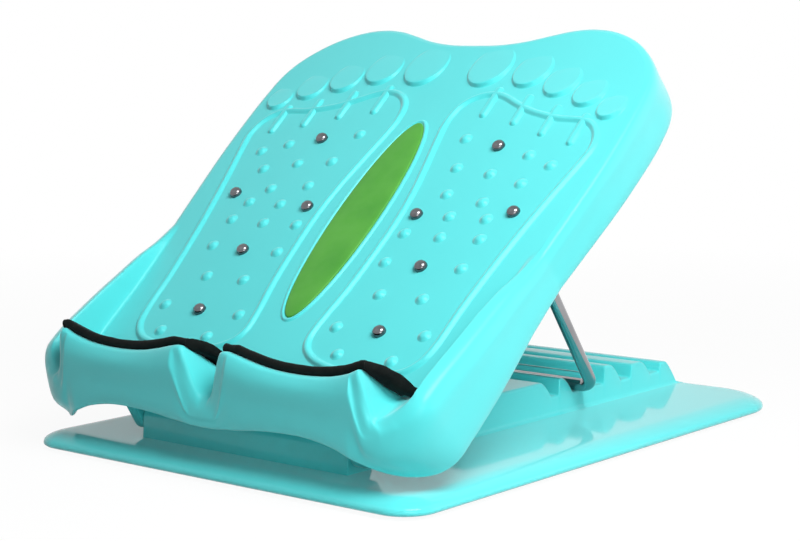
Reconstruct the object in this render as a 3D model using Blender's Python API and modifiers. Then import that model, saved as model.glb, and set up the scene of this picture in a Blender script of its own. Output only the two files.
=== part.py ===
"""Slant board on a rack base, as separate pieces with a board hinge and a swinging support bail.

Sizes are in millimetres and become metres in the scene, with +Z up. The origin is on the floor under the middle of
the part, +X runs across the board and +Y from the heel end to the rack's tail. On the board, u runs across, v up the
slope and w out of the top face. The board's pieces hang from an empty on the hinge axis, turned by the tilt.
"""
import math

import bpy
import bmesh
from mathutils import Matrix, Vector

MM = 0.001
GAP = 0.3  # clearance between pieces that touch

# Board: overall sizes
BOARD_WIDTH = 296.0
BOARD_LENGTH = 338.0
TILT_DEG = 41.34
PLATE = 3.0  # thickness of the top plate and of the walls
WALL_FRONT = 24.0  # depth of the side wall near the heel
WALL_TOE = 33.0  # depth of the side wall at the toe end
EDGE_ROUND = 4.5
WING_ROUND = 9.0
WING_HEIGHT = 22.2
STOP_HEIGHT = 40.0  # heel stop, at its ears
STOP_THICK = 8.5
PAD_THICK = 5.0
PAD_PROUD = 1.8
BEAD_WIDTH = 5.6
BEAD_HEIGHT = 1.8
NUB_RADIUS = 3.8
NUB_HEIGHT = 2.0
TOE_HEIGHT = 2.4
BAR_WIDTH = 5.2
BAR_HEIGHT = 1.7
STUD_RADIUS = 4.4
STUD_STEM = 2.0
INLAY_HALF = (16.4, 80.0)
INLAY_PROUD = 1.6
INLAY_DEEP = 1.5

# Hinge
HINGE_V, HINGE_W = 58.7, -25.0  # the hinge axis on the board
HINGE_HEIGHT = 11.5  # axis above the base's top face
HINGE_SETBACK = 38.0  # axis behind the base's front edge
HINGE_RADIUS = 8.0  # of the rounded block and ears
HINGE_ROD = 3.0
EAR_WIDTH = 8.0

# Bail and its clamps
ROD = 4.0
PIVOT_V, PIVOT_W = 240.0, -15.0
BAIL_BEND = 8.0
CLAMP_WIDTH = 16.0
SCREW = 1.5

# Base and rack
STOP_OVERHANG = 4.6  # how far the heel stops reach over the base's front edge
BASE_WIDTH = BOARD_WIDTH - 6.0
BASE_LENGTH = BOARD_LENGTH + 52.0 + STOP_OVERHANG
BASE_THICK = 8.5
BASE_CORNER_FRONT = 21.0
BASE_CORNER_REAR = 42.0
FOOT_DROP = 2.0
FOOT_RADIUS = 9.0
FOOT_INSET = 38.4
RACK_HALF = 0.24 * BOARD_WIDTH
RACK_FRONT = 88.0  # behind the hinge axis, like every other place along the rack
RACK_TAIL = 343.0
# For each notch: its steep wall, the length of its floor, the floor's height, the ridge behind it and that ridge's top
NOTCHES = (
    (200.0, 7.5, 11.7, 22.0, 8.0),
    (224.0, 8.0, 11.7, 22.5, 6.5),
    (251.0, 11.0, 11.7, 23.0, 7.0),
    (283.0, 11.5, 11.2, 20.0, 9.0),
    (319.0, 12.0, 10.4, 16.5, 7.0),
)
NOTCH_USED = 1  # counted from 0
BLOCK_HALF = 0.265 * BOARD_WIDTH  # half the length of the hinge block

# Board outline from the waist to the middle of the toe end
OUTLINE = (
    (143.2, 186), (145.2, 213), (147.6, 250), (148, 285), (147, 308), (145, 324.5), (140, 337.8), (130.5, 350.5),
    (116.8, 362.1), (99.5, 370.2), (82.2, 373), (66.7, 371.4), (52, 366.9), (36, 361.7), (18, 358.6), (0, 358.1),
)
# Side of the board from the front corner to the waist, as (v, u)
SIDE = ((55, 145.4), (90, 146.2), (120, 146), (150, 144.6), (186, 143.2))
# Height of the side wing along v, as shares of WING_HEIGHT
WING = ((56, 0.97), (66, 1.0), (80, 0.975), (100, 0.835), (125, 0.635), (150, 0.4), (168, 0.16), (186, 0.0))
# Height of the heel stops along u, as shares of STOP_HEIGHT
STOP = (
    (0, 0.42), (3.5, 0.435), (7, 0.56), (11, 0.8), (14.5, 0.97), (17.5, 1.0), (23, 0.985), (36, 0.92), (50, 0.87),
    (69, 0.85), (88, 0.875), (98, 0.915), (104, 0.95),
)
# The same over the outer ear, its end face and the groove behind it, by angle round the front corner
CORNER_STOP = ((0, 0.95), (8, 0.985), (15, 1.0), (18.5, 0.9), (22, 0.7), (25.5, 0.54), (29, 0.47), (35, 0.45),
               (44, 0.465), (60, 0.51), (75, 0.54), (90, 0.555))
# Lower edge of the front face along u, and round the front corner by angle
FRONT_EDGE = ((0, 6.1), (20, 6.8), (45, 9.0), (72, 9.6), (92, 7.4), (104, 4.6))
CORNER_EDGE = ((0, 4.6), (8, 2.4), (22.5, -4.2), (37.5, -13.8), (55, -21.2), (72, -23.2), (90, -23.4))
CORNER_U = 104.0
# Places across the front and angles round its corner where the sections stand
FRONT_US = (0, 3, 6, 9, 12, 15, 18, 21, 25, 31, 39, 48, 58, 69, 80, 90, 98, 104)
CORNER_ANGLES = (4, 8, 12, 15, 17.5, 20, 22.5, 25.5, 29, 35, 44, 54, 66, 78, 90)
PAD_US = (9, 11.5, 14, 16.5, 19, 22, 26, 31, 39, 48, 58, 69, 80, 90, 98, 104, 108, 111, 113.5, 116, 118.5, 121)
# Height of the pads' crowns where they run down past the ends of the stops
PAD_ENDS = ((9, 0.7), (11.5, 0.85), (14, 1.0), (113.5, 1.0), (116, 0.93), (118.5, 0.83), (121, 0.72))

# One foot: outline bead, nubs, studs, toes and bars
FOOT = (
    (24, 112), (25, 126), (28, 146), (30.2, 175), (30.8, 203), (29, 226), (25, 250), (21, 271), (19.2, 285), (21, 297),
    (26.5, 305), (35, 309.6), (43, 310.3), (51, 308), (61, 303), (73, 297.5), (85, 294), (98, 291.4), (112, 290.8),
    (119.5, 289), (126, 284), (130.6, 276), (132, 267), (130.4, 257), (125, 231), (119.5, 202), (115, 172),
    (111.7, 142), (110, 115), (107, 104), (99.5, 96), (85, 92), (67, 91), (49, 92.5), (34, 97.5), (26.5, 104),
)
NUBS = (
    (41.3, 271.8), (92.8, 260.5), (111.6, 253.2), (48.4, 247.3), (74.4, 244), (99.2, 237.8), (53.5, 225.8),
    (81.5, 221.3), (65.2, 208.9), (91.1, 208.9), (41.7, 193.3), (68, 192.5), (95.2, 193.5), (41.6, 170.5),
    (95.2, 171), (52.2, 146.7), (82.4, 146.7), (37.4, 120.5), (98.9, 121.7), (50, 102), (88, 102),
)
STUDS = ((68.5, 266.3), (106.8, 215.2), (42.1, 208.2), (68.3, 169.4), (68.7, 120.5))
TOES = ((25, 335, 15, 18.5), (57.8, 332, 12.9, 15.5), (83.9, 323, 11.8, 14.2), (107.8, 314, 10.8, 12.7),
        (128.4, 302.5, 9.2, 11.2))
BARS = ((42.5, 290, 316.5), (68, 284, 311), (92.3, 275.5, 303), (115.5, 269, 296.5))

# Places that follow from the sizes above
SCALE_U = BOARD_WIDTH / 296.0
SCALE_V = BOARD_LENGTH / 338.0
TILT = math.radians(TILT_DEG)
BASE_TOP = FOOT_DROP + BASE_THICK
BASE_MIDDLE = STOP_OVERHANG / 2  # the origin is under the middle of the whole part
HINGE_Y = BASE_MIDDLE - BASE_LENGTH / 2 + HINGE_SETBACK
HINGE_Z = BASE_TOP + HINGE_HEIGHT
LEG_X = RACK_HALF + 3 * ROD
COLOURS = {
    "aqua": ((0.14, 0.72, 0.72, 1), 0.28, 0.0),
    "green": ((0.10, 0.38, 0.07, 1), 0.5, 0.0),
    "black": ((0.012, 0.014, 0.014, 1), 0.85, 0.0),
    "chrome": ((0.75, 0.75, 0.76, 1), 0.12, 1.0),
    "steel": ((0.5, 0.5, 0.52, 1), 0.35, 1.0),
    "rubber": ((0.03, 0.03, 0.03, 1), 0.9, 0.0),
}

for old in list(bpy.data.objects):
    bpy.data.objects.remove(old, do_unlink=True)
PARTS = bpy.data.collections.new("slant_board")
CUTTERS = bpy.data.collections.new("cutters")
for group in (PARTS, CUTTERS):
    bpy.context.scene.collection.children.link(group)
CUTTERS.hide_render = True


def smooth(table, x):
    """A smooth curve through the points of a table, level beyond its ends."""
    if x <= table[0][0]:
        return table[0][1]
    if x >= table[-1][0]:
        return table[-1][1]
    i = max(k for k in range(len(table) - 1) if table[k][0] <= x)
    (x0, y0), (x1, y1) = table[i], table[i + 1]
    before = table[i - 1] if i else table[i]
    after = table[i + 2] if i + 2 < len(table) else table[i + 1]
    m0 = (y1 - before[1]) / (x1 - before[0])
    m1 = (after[1] - y0) / (after[0] - x0)
    t = (x - x0) / (x1 - x0)
    h = x1 - x0
    return ((2 * t**3 - 3 * t**2 + 1) * y0 + (t**3 - 2 * t**2 + t) * h * m0
            + (3 * t**2 - 2 * t**3) * y1 + (t**3 - t**2) * h * m1)


def lerp(a, b, t):
    return a + (b - a) * t


def ease(t):
    """Goes smoothly from 0 to 1 as t does."""
    t = min(1, max(0, t))
    return t * t * (3 - 2 * t)


def up_slope(v):
    """A place along the board, kept at its share of the board's length."""
    return HINGE_V + (v - HINGE_V) * SCALE_V


def mesh_object(name, points, faces, colour=None, parent=None):
    """A mesh from points in millimetres. With no colour it is a cutter or a helper."""
    data = bpy.data.meshes.new(name)
    data.from_pydata([Vector(p) * MM for p in points], [], faces)
    work = bmesh.new()
    work.from_mesh(data)
    bmesh.ops.recalc_face_normals(work, faces=work.faces)
    work.to_mesh(data)
    work.free()
    obj = bpy.data.objects.new(name, data)
    if colour:
        rgba, rough, metal = COLOURS[colour]
        look = bpy.data.materials.new(name + "_" + colour)
        look.use_nodes = True
        shader = look.node_tree.nodes["Principled BSDF"]
        shader.inputs["Base Color"].default_value = rgba
        shader.inputs["Roughness"].default_value = rough
        shader.inputs["Metallic"].default_value = metal
        data.materials.append(look)
        PARTS.objects.link(obj)
    else:
        CUTTERS.objects.link(obj)
        obj.hide_render = True
        obj.display_type = "WIRE"
    obj.parent = parent
    return obj


def loft(rings, closed_rings=True, caps=True):
    """Points and faces of a surface through rings of as many points each."""
    count = len(rings[0])
    points = [p for ring in rings for p in ring]
    faces = []
    for i in range(len(rings) - 1):
        for j in range(count if closed_rings else count - 1):
            k = (j + 1) % count
            faces.append((i * count + j, i * count + k, (i + 1) * count + k, (i + 1) * count + j))
    if caps:
        faces += [tuple(range(count)), tuple(range(len(points) - count, len(points)))]
    return points, faces


def revolved(profile, sides):
    """Points and faces of a solid turned about the third axis, from a (radius, height) profile with both ends on it."""
    points = [(0, 0, profile[0][1]), (0, 0, profile[-1][1])]
    rings = profile[1:-1]
    for radius, height in rings:
        for i in range(sides):
            a = 2 * math.pi * i / sides
            points.append((radius * math.cos(a), radius * math.sin(a), height))
    faces = []
    for i in range(sides):
        k = (i + 1) % sides
        faces.append((0, 2 + i, 2 + k))
        for r in range(len(rings) - 1):
            a, b = 2 + r * sides, 2 + (r + 1) * sides
            faces.append((a + i, a + k, b + k, b + i))
        last = 2 + (len(rings) - 1) * sides
        faces.append((last + i, last + k, 1))
    return points, faces


def ring_of(radius, thickness, hole, sides):
    """Points and faces of a washer on the first axis."""
    rings = []
    for r, x in ((hole, 0), (radius, 0), (radius, thickness), (hole, thickness), (hole, 0)):
        rings.append([(x, r * math.cos(2 * math.pi * i / sides), r * math.sin(2 * math.pi * i / sides))
                      for i in range(sides)])
    count = sides
    points = [p for ring in rings[:-1] for p in ring]
    faces = []
    for i in range(4):
        for j in range(count):
            k, n = (j + 1) % count, (i + 1) % 4
            faces.append((i * count + j, i * count + k, n * count + k, n * count + j))
    return points, faces


def prism(outline, low, high, axis):
    """Points and faces of a flat outline pushed along an axis (0, 1 or 2)."""
    order = {0: lambda a, b, c: (c, a, b), 1: lambda a, b, c: (a, c, b), 2: lambda a, b, c: (a, b, c)}[axis]
    return loft([[order(a, b, low) for a, b in outline], [order(a, b, high) for a, b in outline]])


def circle(radius, sides, middle=(0, 0)):
    return [(middle[0] + radius * math.cos(2 * math.pi * i / sides),
             middle[1] + radius * math.sin(2 * math.pi * i / sides)) for i in range(sides)]


def box(low, high):
    (x0, y0, z0), (x1, y1, z1) = low, high
    return prism([(x0, y0), (x1, y0), (x1, y1), (x0, y1)], z0, z1, 2)


def moved(shape, du=0.0, dv=0.0, dw=0.0):
    points, faces = shape
    return [(x + du, y + dv, z + dw) for x, y, z in points], faces


def together(*shapes):
    """Several separate shapes as one list of points and faces."""
    points, faces = [], []
    for more, sides in shapes:
        faces += [tuple(i + len(points) for i in face) for face in sides]
        points += more
    return points, faces


def both_sides(shape):
    points, faces = shape
    return together(shape, ([(-x, y, z) for x, y, z in points], [face[::-1] for face in faces]))


def on_board(shape):
    """Moves a shape from u, v, w to the hinge axis's own frame."""
    return moved(shape, 0, -HINGE_V, -HINGE_W)


def boolean(obj, cutter, operation):
    step = obj.modifiers.new(cutter.name, "BOOLEAN")
    step.operation = operation
    step.object = cutter
    step.solver = "EXACT"


def joint_empty(name, place, turn, parent=None):
    empty = bpy.data.objects.new(name, None)
    PARTS.objects.link(empty)
    empty.empty_display_size = 0.02
    empty.parent = parent
    empty.matrix_local = Matrix.Translation(Vector(place) * MM) @ Matrix.Rotation(turn, 4, "X")
    return empty


def to_world(v, w):
    """The world's y and z, in millimetres, of a place on the board."""
    dy, dz = v - HINGE_V, w - HINGE_W
    return (HINGE_Y + dy * math.cos(TILT) - dz * math.sin(TILT), HINGE_Z + dy * math.sin(TILT) + dz * math.cos(TILT))


BOARD_AXIS = joint_empty("board_axis", (0, HINGE_Y, HINGE_Z), TILT)

# Foot board
# The heel stops' front face stands a little forward of upright at the photographed tilt, so it leans back on the board.
FACE_LEAN = 0.67
FACE_V = 31.15
STOP_BACK = 78.0  # where the stops' inner face meets the top


def face_v(w):
    return up_slope(FACE_V) + FACE_LEAN * w


def wall_depth(v):
    return -lerp(WALL_FRONT, WALL_TOE, min(1, max(0, (v - 150) / 150)))


def front_section(edge, top):
    """(v, w) of the rings at one place along the front: outer ones from the lower edge to the flat top, then inner."""
    high = top - edge
    back, tip = up_slope(STOP_BACK), face_v(top)
    rear = tip + STOP_THICK
    outer = [
        (face_v(edge) + 2.2, edge - 0.6), (face_v(edge + 0.1 * high) + 0.2, edge + 0.1 * high),
        (face_v(edge + 0.5 * high) + 0.4, edge + 0.5 * high), (face_v(top - 5.5), top - 5.5),
        (face_v(top - 2.2) + 0.9, top - 2.2), (tip + 3.2, top - 0.4), (tip + 0.66 * STOP_THICK, top),
        (rear, 0.94 * top), (lerp(rear, back, 0.6), 0.45 * top), (lerp(rear, back, 0.93), 0.06 * top), (back + 2, 0),
    ]
    inner = [(face_v(edge) + 5, edge - 1.2), (face_v(edge) + 12, lerp(edge, -PLATE, 0.75)),
             (face_v(edge) + 18, -PLATE)]
    return outer, inner


def side_section(depth, top, round_off):
    """(inset, w) of the same rings at one place along the side or the toe end."""
    crest = 0.4 + round_off
    outer = [
        (0.6, depth), (0, depth + 1.2), (0.2, lerp(depth, top, 0.5)), (0.4, top - round_off),
        (0.4 + 0.29 * round_off, top - 0.29 * round_off), (crest, top), (crest + 0.6, 0.985 * top),
        (crest + 1.4, 0.9 * top), (crest + 2.8, 0.45 * top), (crest + 4.2, 0.07 * top), (crest + 6, 0),
    ]
    inner = [(PLATE, depth), (PLATE + 0.8, lerp(depth, -PLATE, 0.75)), (PLATE + 3.5, -PLATE)]
    return outer, inner


def outline_stations(step):
    """Places along OUTLINE about a step apart, each with the direction inwards."""
    path = [(u * SCALE_U, up_slope(v)) for u, v in OUTLINE]
    along = [0.0]
    for a, b in zip(path, path[1:]):
        along.append(along[-1] + math.dist(a, b))
    us = [(s, p[0]) for s, p in zip(along, path)]
    vs = [(s, p[1]) for s, p in zip(along, path)]
    count = round(along[-1] / step)
    found = []
    for i in range(1, count + 1):
        s = along[-1] * i / count
        e = 0.5
        du = smooth(us, s + e) - smooth(us, s - e)
        dv = smooth(vs, s + e) - smooth(vs, s - e)
        size = math.hypot(du, dv)
        inward = (-dv / size, du / size) if i < count else (0.0, -1.0)
        found.append(((max(smooth(us, s), 0.0), smooth(vs, s)), inward))
    return found


def stop_top(u):
    """Height of the heel stop at a place across the front, the outer ear's end included."""
    if u <= CORNER_U:
        return STOP_HEIGHT * smooth(STOP, u)
    reach = smooth(SIDE, SIDE[0][0]) - WING_ROUND - CORNER_U
    return STOP_HEIGHT * smooth(CORNER_STOP, math.degrees(math.asin(min(1, (u - CORNER_U) / reach))))


def board_rings():
    """The rings of the right half of the board, from the middle of the front round to the middle of the toe end."""
    stations = []
    for u in FRONT_US:
        outer, inner = front_section(smooth(FRONT_EDGE, u), STOP_HEIGHT * smooth(STOP, u))
        stations.append([(u * SCALE_U, v, w) for v, w in outer + inner])
    start_v = [p[1] for p in stations[-1]]
    # Each ring turns the corner on its own quarter ellipse, wider inside than outside. The outer ones keep to the
    # leaning face as the top drops behind the ear.
    turn_v = [70, 70, 69, 68, 68, 68, 70, 74, 80, 88, 94, 71, 75, 80]
    corner_u = CORNER_U * SCALE_U
    turn_v = [up_slope(v) for v in turn_v]
    for angle in CORNER_ANGLES:
        a = math.radians(angle)
        top = STOP_HEIGHT * smooth(CORNER_STOP, angle)
        edge = smooth(CORNER_EDGE, angle)
        front_o, front_i = front_section(edge, top)
        side_o, side_i = side_section(edge, top, WING_ROUND)
        share = ease((angle - 22) / 68)
        ring = []
        for k, (f, s) in enumerate(zip(front_o + front_i, side_o + side_i)):
            first_v = f[0] if 2 <= k <= 7 else start_v[k]
            side_u = SCALE_U * smooth(SIDE, turn_v[k]) - s[0]
            ring.append((corner_u + (side_u - corner_u) * math.sin(a),
                         turn_v[k] - (turn_v[k] - first_v) * math.cos(a), lerp(f[1], s[1], share)))
        stations.append(ring)
    waist = up_slope(SIDE[-1][0])
    steps = 10
    for i in range(1, steps + 1):
        ring = []
        for k in range(14):
            v = lerp(turn_v[k], waist, i / steps)
            flat_v = HINGE_V + (v - HINGE_V) / SCALE_V
            top = WING_HEIGHT * smooth(WING, flat_v)
            blend = min(1, max(0, (flat_v - 130) / 56))
            # near the front the wall's foot rises to meet the corner
            foot = lerp(smooth(CORNER_EDGE, 90), wall_depth(flat_v), min(1, i / 3))
            outer, inner = side_section(foot, top, lerp(WING_ROUND, EDGE_ROUND, blend))
            inset, w = (outer + inner)[k]
            ring.append((SCALE_U * smooth(SIDE, flat_v) - inset, v, w))
        stations.append(ring)
    for (u, v), (nu, nv) in outline_stations(11.0):
        outer, inner = side_section(wall_depth(v), 0.0, EDGE_ROUND)
        stations.append([(u + nu * d if u > 0.01 else 0.0, v + nv * d, w) for d, w in outer + inner])
    return stations


def build_foot_board():
    stations = board_rings()
    rings = 14
    points = [p for station in stations for p in station]
    faces = []
    strips = [(k, k + 1) for k in range(10)] + [(11, 0), (12, 11), (13, 12)]
    for i in range(len(stations) - 1):
        for a, b in strips:
            faces.append((i * rings + a, i * rings + b, (i + 1) * rings + b, (i + 1) * rings + a))
    faces.append(tuple(i * rings + 10 for i in range(len(stations))))
    faces.append(tuple(i * rings + 13 for i in range(len(stations))))
    board = mesh_object("foot_board", *on_board((points, faces)), "aqua", BOARD_AXIS)
    mirror = board.modifiers.new("other half", "MIRROR")
    mirror.use_axis = (True, False, False)
    mirror.merge_threshold = 0.00001
    return board


BOARD = build_foot_board()


def board_feature(name, shape, operation="UNION"):
    boolean(BOARD, mesh_object(name, *on_board(shape), parent=BOARD_AXIS), operation)


# Structure under the plate: hinge ears, clamp bosses and ribs
def ear_outline():
    low = [(HINGE_V + HINGE_RADIUS * math.cos(a), HINGE_W + HINGE_RADIUS * math.sin(a))
           for a in (math.radians(180 + 18 * i) for i in range(11))]
    return low + [(HINGE_V + 15, -PLATE / 2), (HINGE_V - 4, -PLATE / 2)]


BOSS = 6.0  # how far the clamp bosses stand below the plate
BOSS_W = -PLATE - BOSS
CLAMP_U = LEG_X + BAIL_BEND + 1.0 + CLAMP_WIDTH / 2  # outside the legs, so that the rack passes between
CLAMP_SCREW_V = 16.0
ear_u = BLOCK_HALF + 0.6
board_feature("hinge ears", both_sides(prism(ear_outline(), ear_u, ear_u + EAR_WIDTH, 0)))
rib_u = CLAMP_U + CLAMP_WIDTH
clamp_v = up_slope(PIVOT_V)
bosses = both_sides(box((CLAMP_U - 0.6 * CLAMP_WIDTH, clamp_v - 23, BOSS_W),
                        (CLAMP_U + 0.6 * CLAMP_WIDTH, clamp_v + 23, -PLATE / 2)))
long_ribs = both_sides(box((rib_u, up_slope(88), -10), (rib_u + 2.4, up_slope(345), -PLATE / 2)))
board_feature("bosses and long ribs", together(bosses, long_ribs))


def half_width(v):
    """Half the board's width inside its walls, at a place up the slope."""
    side = SIDE[:-1] + tuple((out_v, out_u) for out_u, out_v in OUTLINE[:9])
    return SCALE_U * smooth(side, v) - PLATE


cross_ribs = [box((-half_width(v), up_slope(v), -8.6), (half_width(v), up_slope(v) + 2.4, -PLATE / 2))
              for v in (110, 160, 290, 330)]
board_feature("cross ribs", together(*cross_ribs))


# Raised work on the top: bars, foot outlines, then nubs and toes
def bar(u, low, high):
    half = BAR_WIDTH / 2
    rings = []
    for w, grow in ((-1.0, 0.0), (0.55 * BAR_HEIGHT, 0.0), (BAR_HEIGHT, -0.8)):
        ring = []
        for i in range(12):
            a = math.pi * (i + 0.5) / 6
            end = high - half if math.sin(a) > 0 else low + half
            ring.append((u + (half + grow) * math.cos(a), end + (half + grow) * math.sin(a), w))
        rings.append(ring)
    return loft(rings)


def bead(path):
    """A closed rounded strip along a closed path on the top."""
    half = BEAD_WIDTH / 2
    section = ((-half, -0.9), (-0.8 * half, 0.5 * BEAD_HEIGHT), (-0.35 * half, BEAD_HEIGHT), (0.35 * half, BEAD_HEIGHT),
               (0.8 * half, 0.5 * BEAD_HEIGHT), (half, -0.9))
    count, rings = len(path), []
    for i, (u, v) in enumerate(path):
        (u0, v0), (u1, v1) = path[i - 1], path[(i + 1) % count]
        size = math.hypot(u1 - u0, v1 - v0)
        nu, nv = (v1 - v0) / size, (u0 - u1) / size
        rings.append([(u + nu * d, v + nv * d, w) for d, w in section])
    points, faces = loft(rings + [rings[0]], caps=False)
    keep = count * len(section)
    return points[:keep], [tuple(i % keep for i in face) for face in faces]


def dome(u, v, radius, height, sides):
    shape = revolved(((0, -0.8), (radius, -0.8), (radius, 0.12 * height), (0.72 * radius, 0.72 * height), (0, height)),
                     sides)
    return moved(shape, u, v)


def toe(u, v, half_u, half_v):
    """An oval pad that stands up at its lower end and runs out level at its upper end."""
    rings = []
    for grow, drop in ((0.0, None), (0.0, 0.7), (-1.3, 0.0)):
        ring = []
        for i in range(20):
            a = 2 * math.pi * i / 20
            lean = 0.5 - 0.56 * math.sin(a) + 0.08 * math.cos(a)
            w = -1.6 if drop is None else TOE_HEIGHT * lean - drop
            ring.append((u + (half_u + grow) * math.cos(a), v + (half_v + grow) * math.sin(a), max(w, -1.5)))
        rings.append(ring)
    return loft(rings)


def foot_place(u, v):
    return u * SCALE_U, up_slope(v)


bars = [bar(u * SCALE_U, up_slope(low), up_slope(high)) for u, low, high in BARS]
board_feature("bars", both_sides(together(*bars)))
board_feature("foot outlines", both_sides(bead([foot_place(u, v) for u, v in FOOT])))
raised = [dome(*foot_place(u, v), NUB_RADIUS, NUB_HEIGHT, 9) for u, v in NUBS]
raised += [toe(*foot_place(u, v), a * SCALE_U, b * SCALE_V) for u, v, a, b in TOES]
board_feature("nubs and toes", both_sides(together(*raised)))


# Holes: hinge rod, studs, inlay seat and clamp screws
def ellipse(half_u, half_v, sides):
    return [(half_u * math.cos(2 * math.pi * i / sides), up_slope(203) + half_v * math.sin(2 * math.pi * i / sides))
            for i in range(sides)]


INLAY_A, INLAY_B = INLAY_HALF[0] * SCALE_U, INLAY_HALF[1] * SCALE_V
stud_holes = [moved(prism(circle(STUD_STEM + GAP, 12), -PLATE - 2, 3, 2), *foot_place(u, v)) for u, v in STUDS]
seat = prism(ellipse(INLAY_A + GAP, INLAY_B + GAP, 48), -INLAY_DEEP, 5, 2)
board_feature("stud holes", both_sides(together(*stud_holes)), "DIFFERENCE")
rod_hole = prism(circle(HINGE_ROD + GAP, 20, (HINGE_V, HINGE_W)), -ear_u - 15, ear_u + 15, 0)
pilot = prism(circle(SCREW + GAP, 10), BOSS_W - 3, BOSS_W + BOSS - 0.5, 2)
pilots = [moved(pilot, CLAMP_U, clamp_v + side * CLAMP_SCREW_V) for side in (-1, 1)]
board_feature("seat and hinge holes", together(seat, rod_hole, both_sides(together(*pilots))), "DIFFERENCE")


# Heel pads, moulded to the stops' inner faces
def heel_pad(side, name):
    rings = []
    back = up_slope(STOP_BACK)
    inner_end, inner_ear, outer_ear, outer_end = PAD_US[0], PAD_ENDS[2][0], PAD_ENDS[3][0], PAD_US[-1]
    for u in PAD_US:
        top = stop_top(u)
        rear, crown = front_section(smooth(FRONT_EDGE, u), top)[0][7][0], top
        # past the ears the pad stands by itself, and runs back and down to its end
        past = max((inner_ear - u) / (inner_ear - inner_end), (u - outer_ear) / (outer_end - outer_ear))
        if past > 0:
            rear = lerp(face_v(STOP_HEIGHT) + STOP_THICK, back - 5, past)
            crown = max(top, STOP_HEIGHT * smooth(PAD_ENDS, u))
        # where the stop's end falls away, its face is twisted, so the pad stands further off
        slope = abs(stop_top(u + 1) - stop_top(u - 1)) / 2
        off = 3 * GAP + min(1.3 * slope, 1.6)
        rear += off
        crown += PAD_PROUD
        bulge = 0.5 + 0.9 * math.sin(math.pi * (u - PAD_US[0]) / (PAD_US[-1] - PAD_US[0]))
        # up the stop's face, over the crown and down the side that the heel rests on
        foot = back + off
        face = [(foot + 2.3, 2.2), (lerp(rear, foot, 0.93) + 0.2, 0.07 * top + 1.6), (lerp(rear, foot, 0.6), 0.45 * top),
                (rear, 0.92 * top)]
        over = [(rear, crown - 2.0), (rear + 1.1, crown - 0.4), (rear + 0.5 * PAD_THICK, crown),
                (rear + PAD_THICK - 1.2, crown - 0.7), (rear + PAD_THICK, crown - 2.8)]
        far = [(lerp(rear, back, 0.55) + PAD_THICK + bulge, 0.5 * top), (back + PAD_THICK + bulge, 0.2 * top + 2),
               (back + PAD_THICK + 0.6, 2.8), (back + PAD_THICK - 0.6, 1.2)]
        rings.append([(side * u * SCALE_U, v, w) for v, w in face + over + far])
    return mesh_object(name, *on_board(loft(rings)), "black", BOARD_AXIS)


for side, word in ((-1, "left"), (1, "right")):
    heel_pad(side, "heel_pad_" + word)

# Centre inlay: a long oval with a soft crown
inlay_rings = [[(u, v, -INLAY_DEEP + GAP) for u, v in ellipse(INLAY_A, INLAY_B, 48)],
               [(u, v, 0.5 * INLAY_PROUD) for u, v in ellipse(INLAY_A, INLAY_B, 48)],
               [(u, v, 0.88 * INLAY_PROUD) for u, v in ellipse(INLAY_A - 1.0, INLAY_B - 1.6, 48)],
               [(u, v, INLAY_PROUD) for u, v in ellipse(INLAY_A - 3.2, INLAY_B - 9.0, 48)]]
mesh_object("centre_inlay", *on_board(loft(inlay_rings)), "green", BOARD_AXIS)

# Studs
STUD = ((0, -PLATE - 1.4), (STUD_STEM, -PLATE - 1.4), (STUD_STEM, GAP), (STUD_RADIUS, GAP), (0.96 * STUD_RADIUS, 1.5),
        (0.72 * STUD_RADIUS, 2.9), (0.34 * STUD_RADIUS, 3.6), (0, 3.8))
for side, word in ((-1, "left"), (1, "right")):
    for i, (u, v) in enumerate(STUDS):
        u, v = foot_place(u, v)
        stud = moved(revolved(STUD, 14), side * u, v)
        mesh_object("magnet_stud_%s_%d" % (word, i + 1), *on_board(stud), "chrome", BOARD_AXIS)


# Bail clamps and their screws
def clamp_outline():
    hump = [(9.0 * math.cos(a), PIVOT_W + 6.6 * math.sin(a)) for a in (math.radians(180 + 20 * i) for i in range(10))]
    flange = BOSS_W - GAP
    half = CLAMP_SCREW_V + 6
    lower = flange - 4.0
    return [(-half, flange), (-half, lower), (-9.0, lower)] + hump[1:-1] + [(9.0, lower), (half, lower), (half, flange)]


for side, word in ((-1, "left"), (1, "right")):
    body = prism([(clamp_v + v, w) for v, w in clamp_outline()], side * CLAMP_U - CLAMP_WIDTH / 2,
                 side * CLAMP_U + CLAMP_WIDTH / 2, 0)
    clamp = mesh_object("bail_clamp_" + word, *on_board(body), "steel", BOARD_AXIS)
    bore = prism(circle(ROD + GAP, 20, (clamp_v, PIVOT_W)), side * CLAMP_U - CLAMP_WIDTH, side * CLAMP_U + CLAMP_WIDTH, 0)
    holes = [moved(prism(circle(SCREW + GAP, 12), BOSS_W - 9, BOSS_W + 2, 2), side * CLAMP_U,
                   clamp_v + way * CLAMP_SCREW_V) for way in (-1, 1)]
    cutter = mesh_object("clamp holes " + word, *on_board(together(bore, *holes)), parent=BOARD_AXIS)
    boolean(clamp, cutter, "DIFFERENCE")
    for way, place in ((-1, "low"), (1, "high")):
        head = BOSS_W - GAP - 4.0 - GAP
        profile = ((0, BOSS_W + 4.6), (SCREW, BOSS_W + 4.6), (SCREW, head), (3.1, head), (3.1, head - 1.2),
                   (2.2, head - 2.2), (0, head - 2.4))
        screw = moved(revolved(profile[::-1], 12), side * CLAMP_U, clamp_v + way * CLAMP_SCREW_V)
        mesh_object("clamp_screw_%s_%s" % (word, place), *on_board(screw), "steel", BOARD_AXIS)

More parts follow.
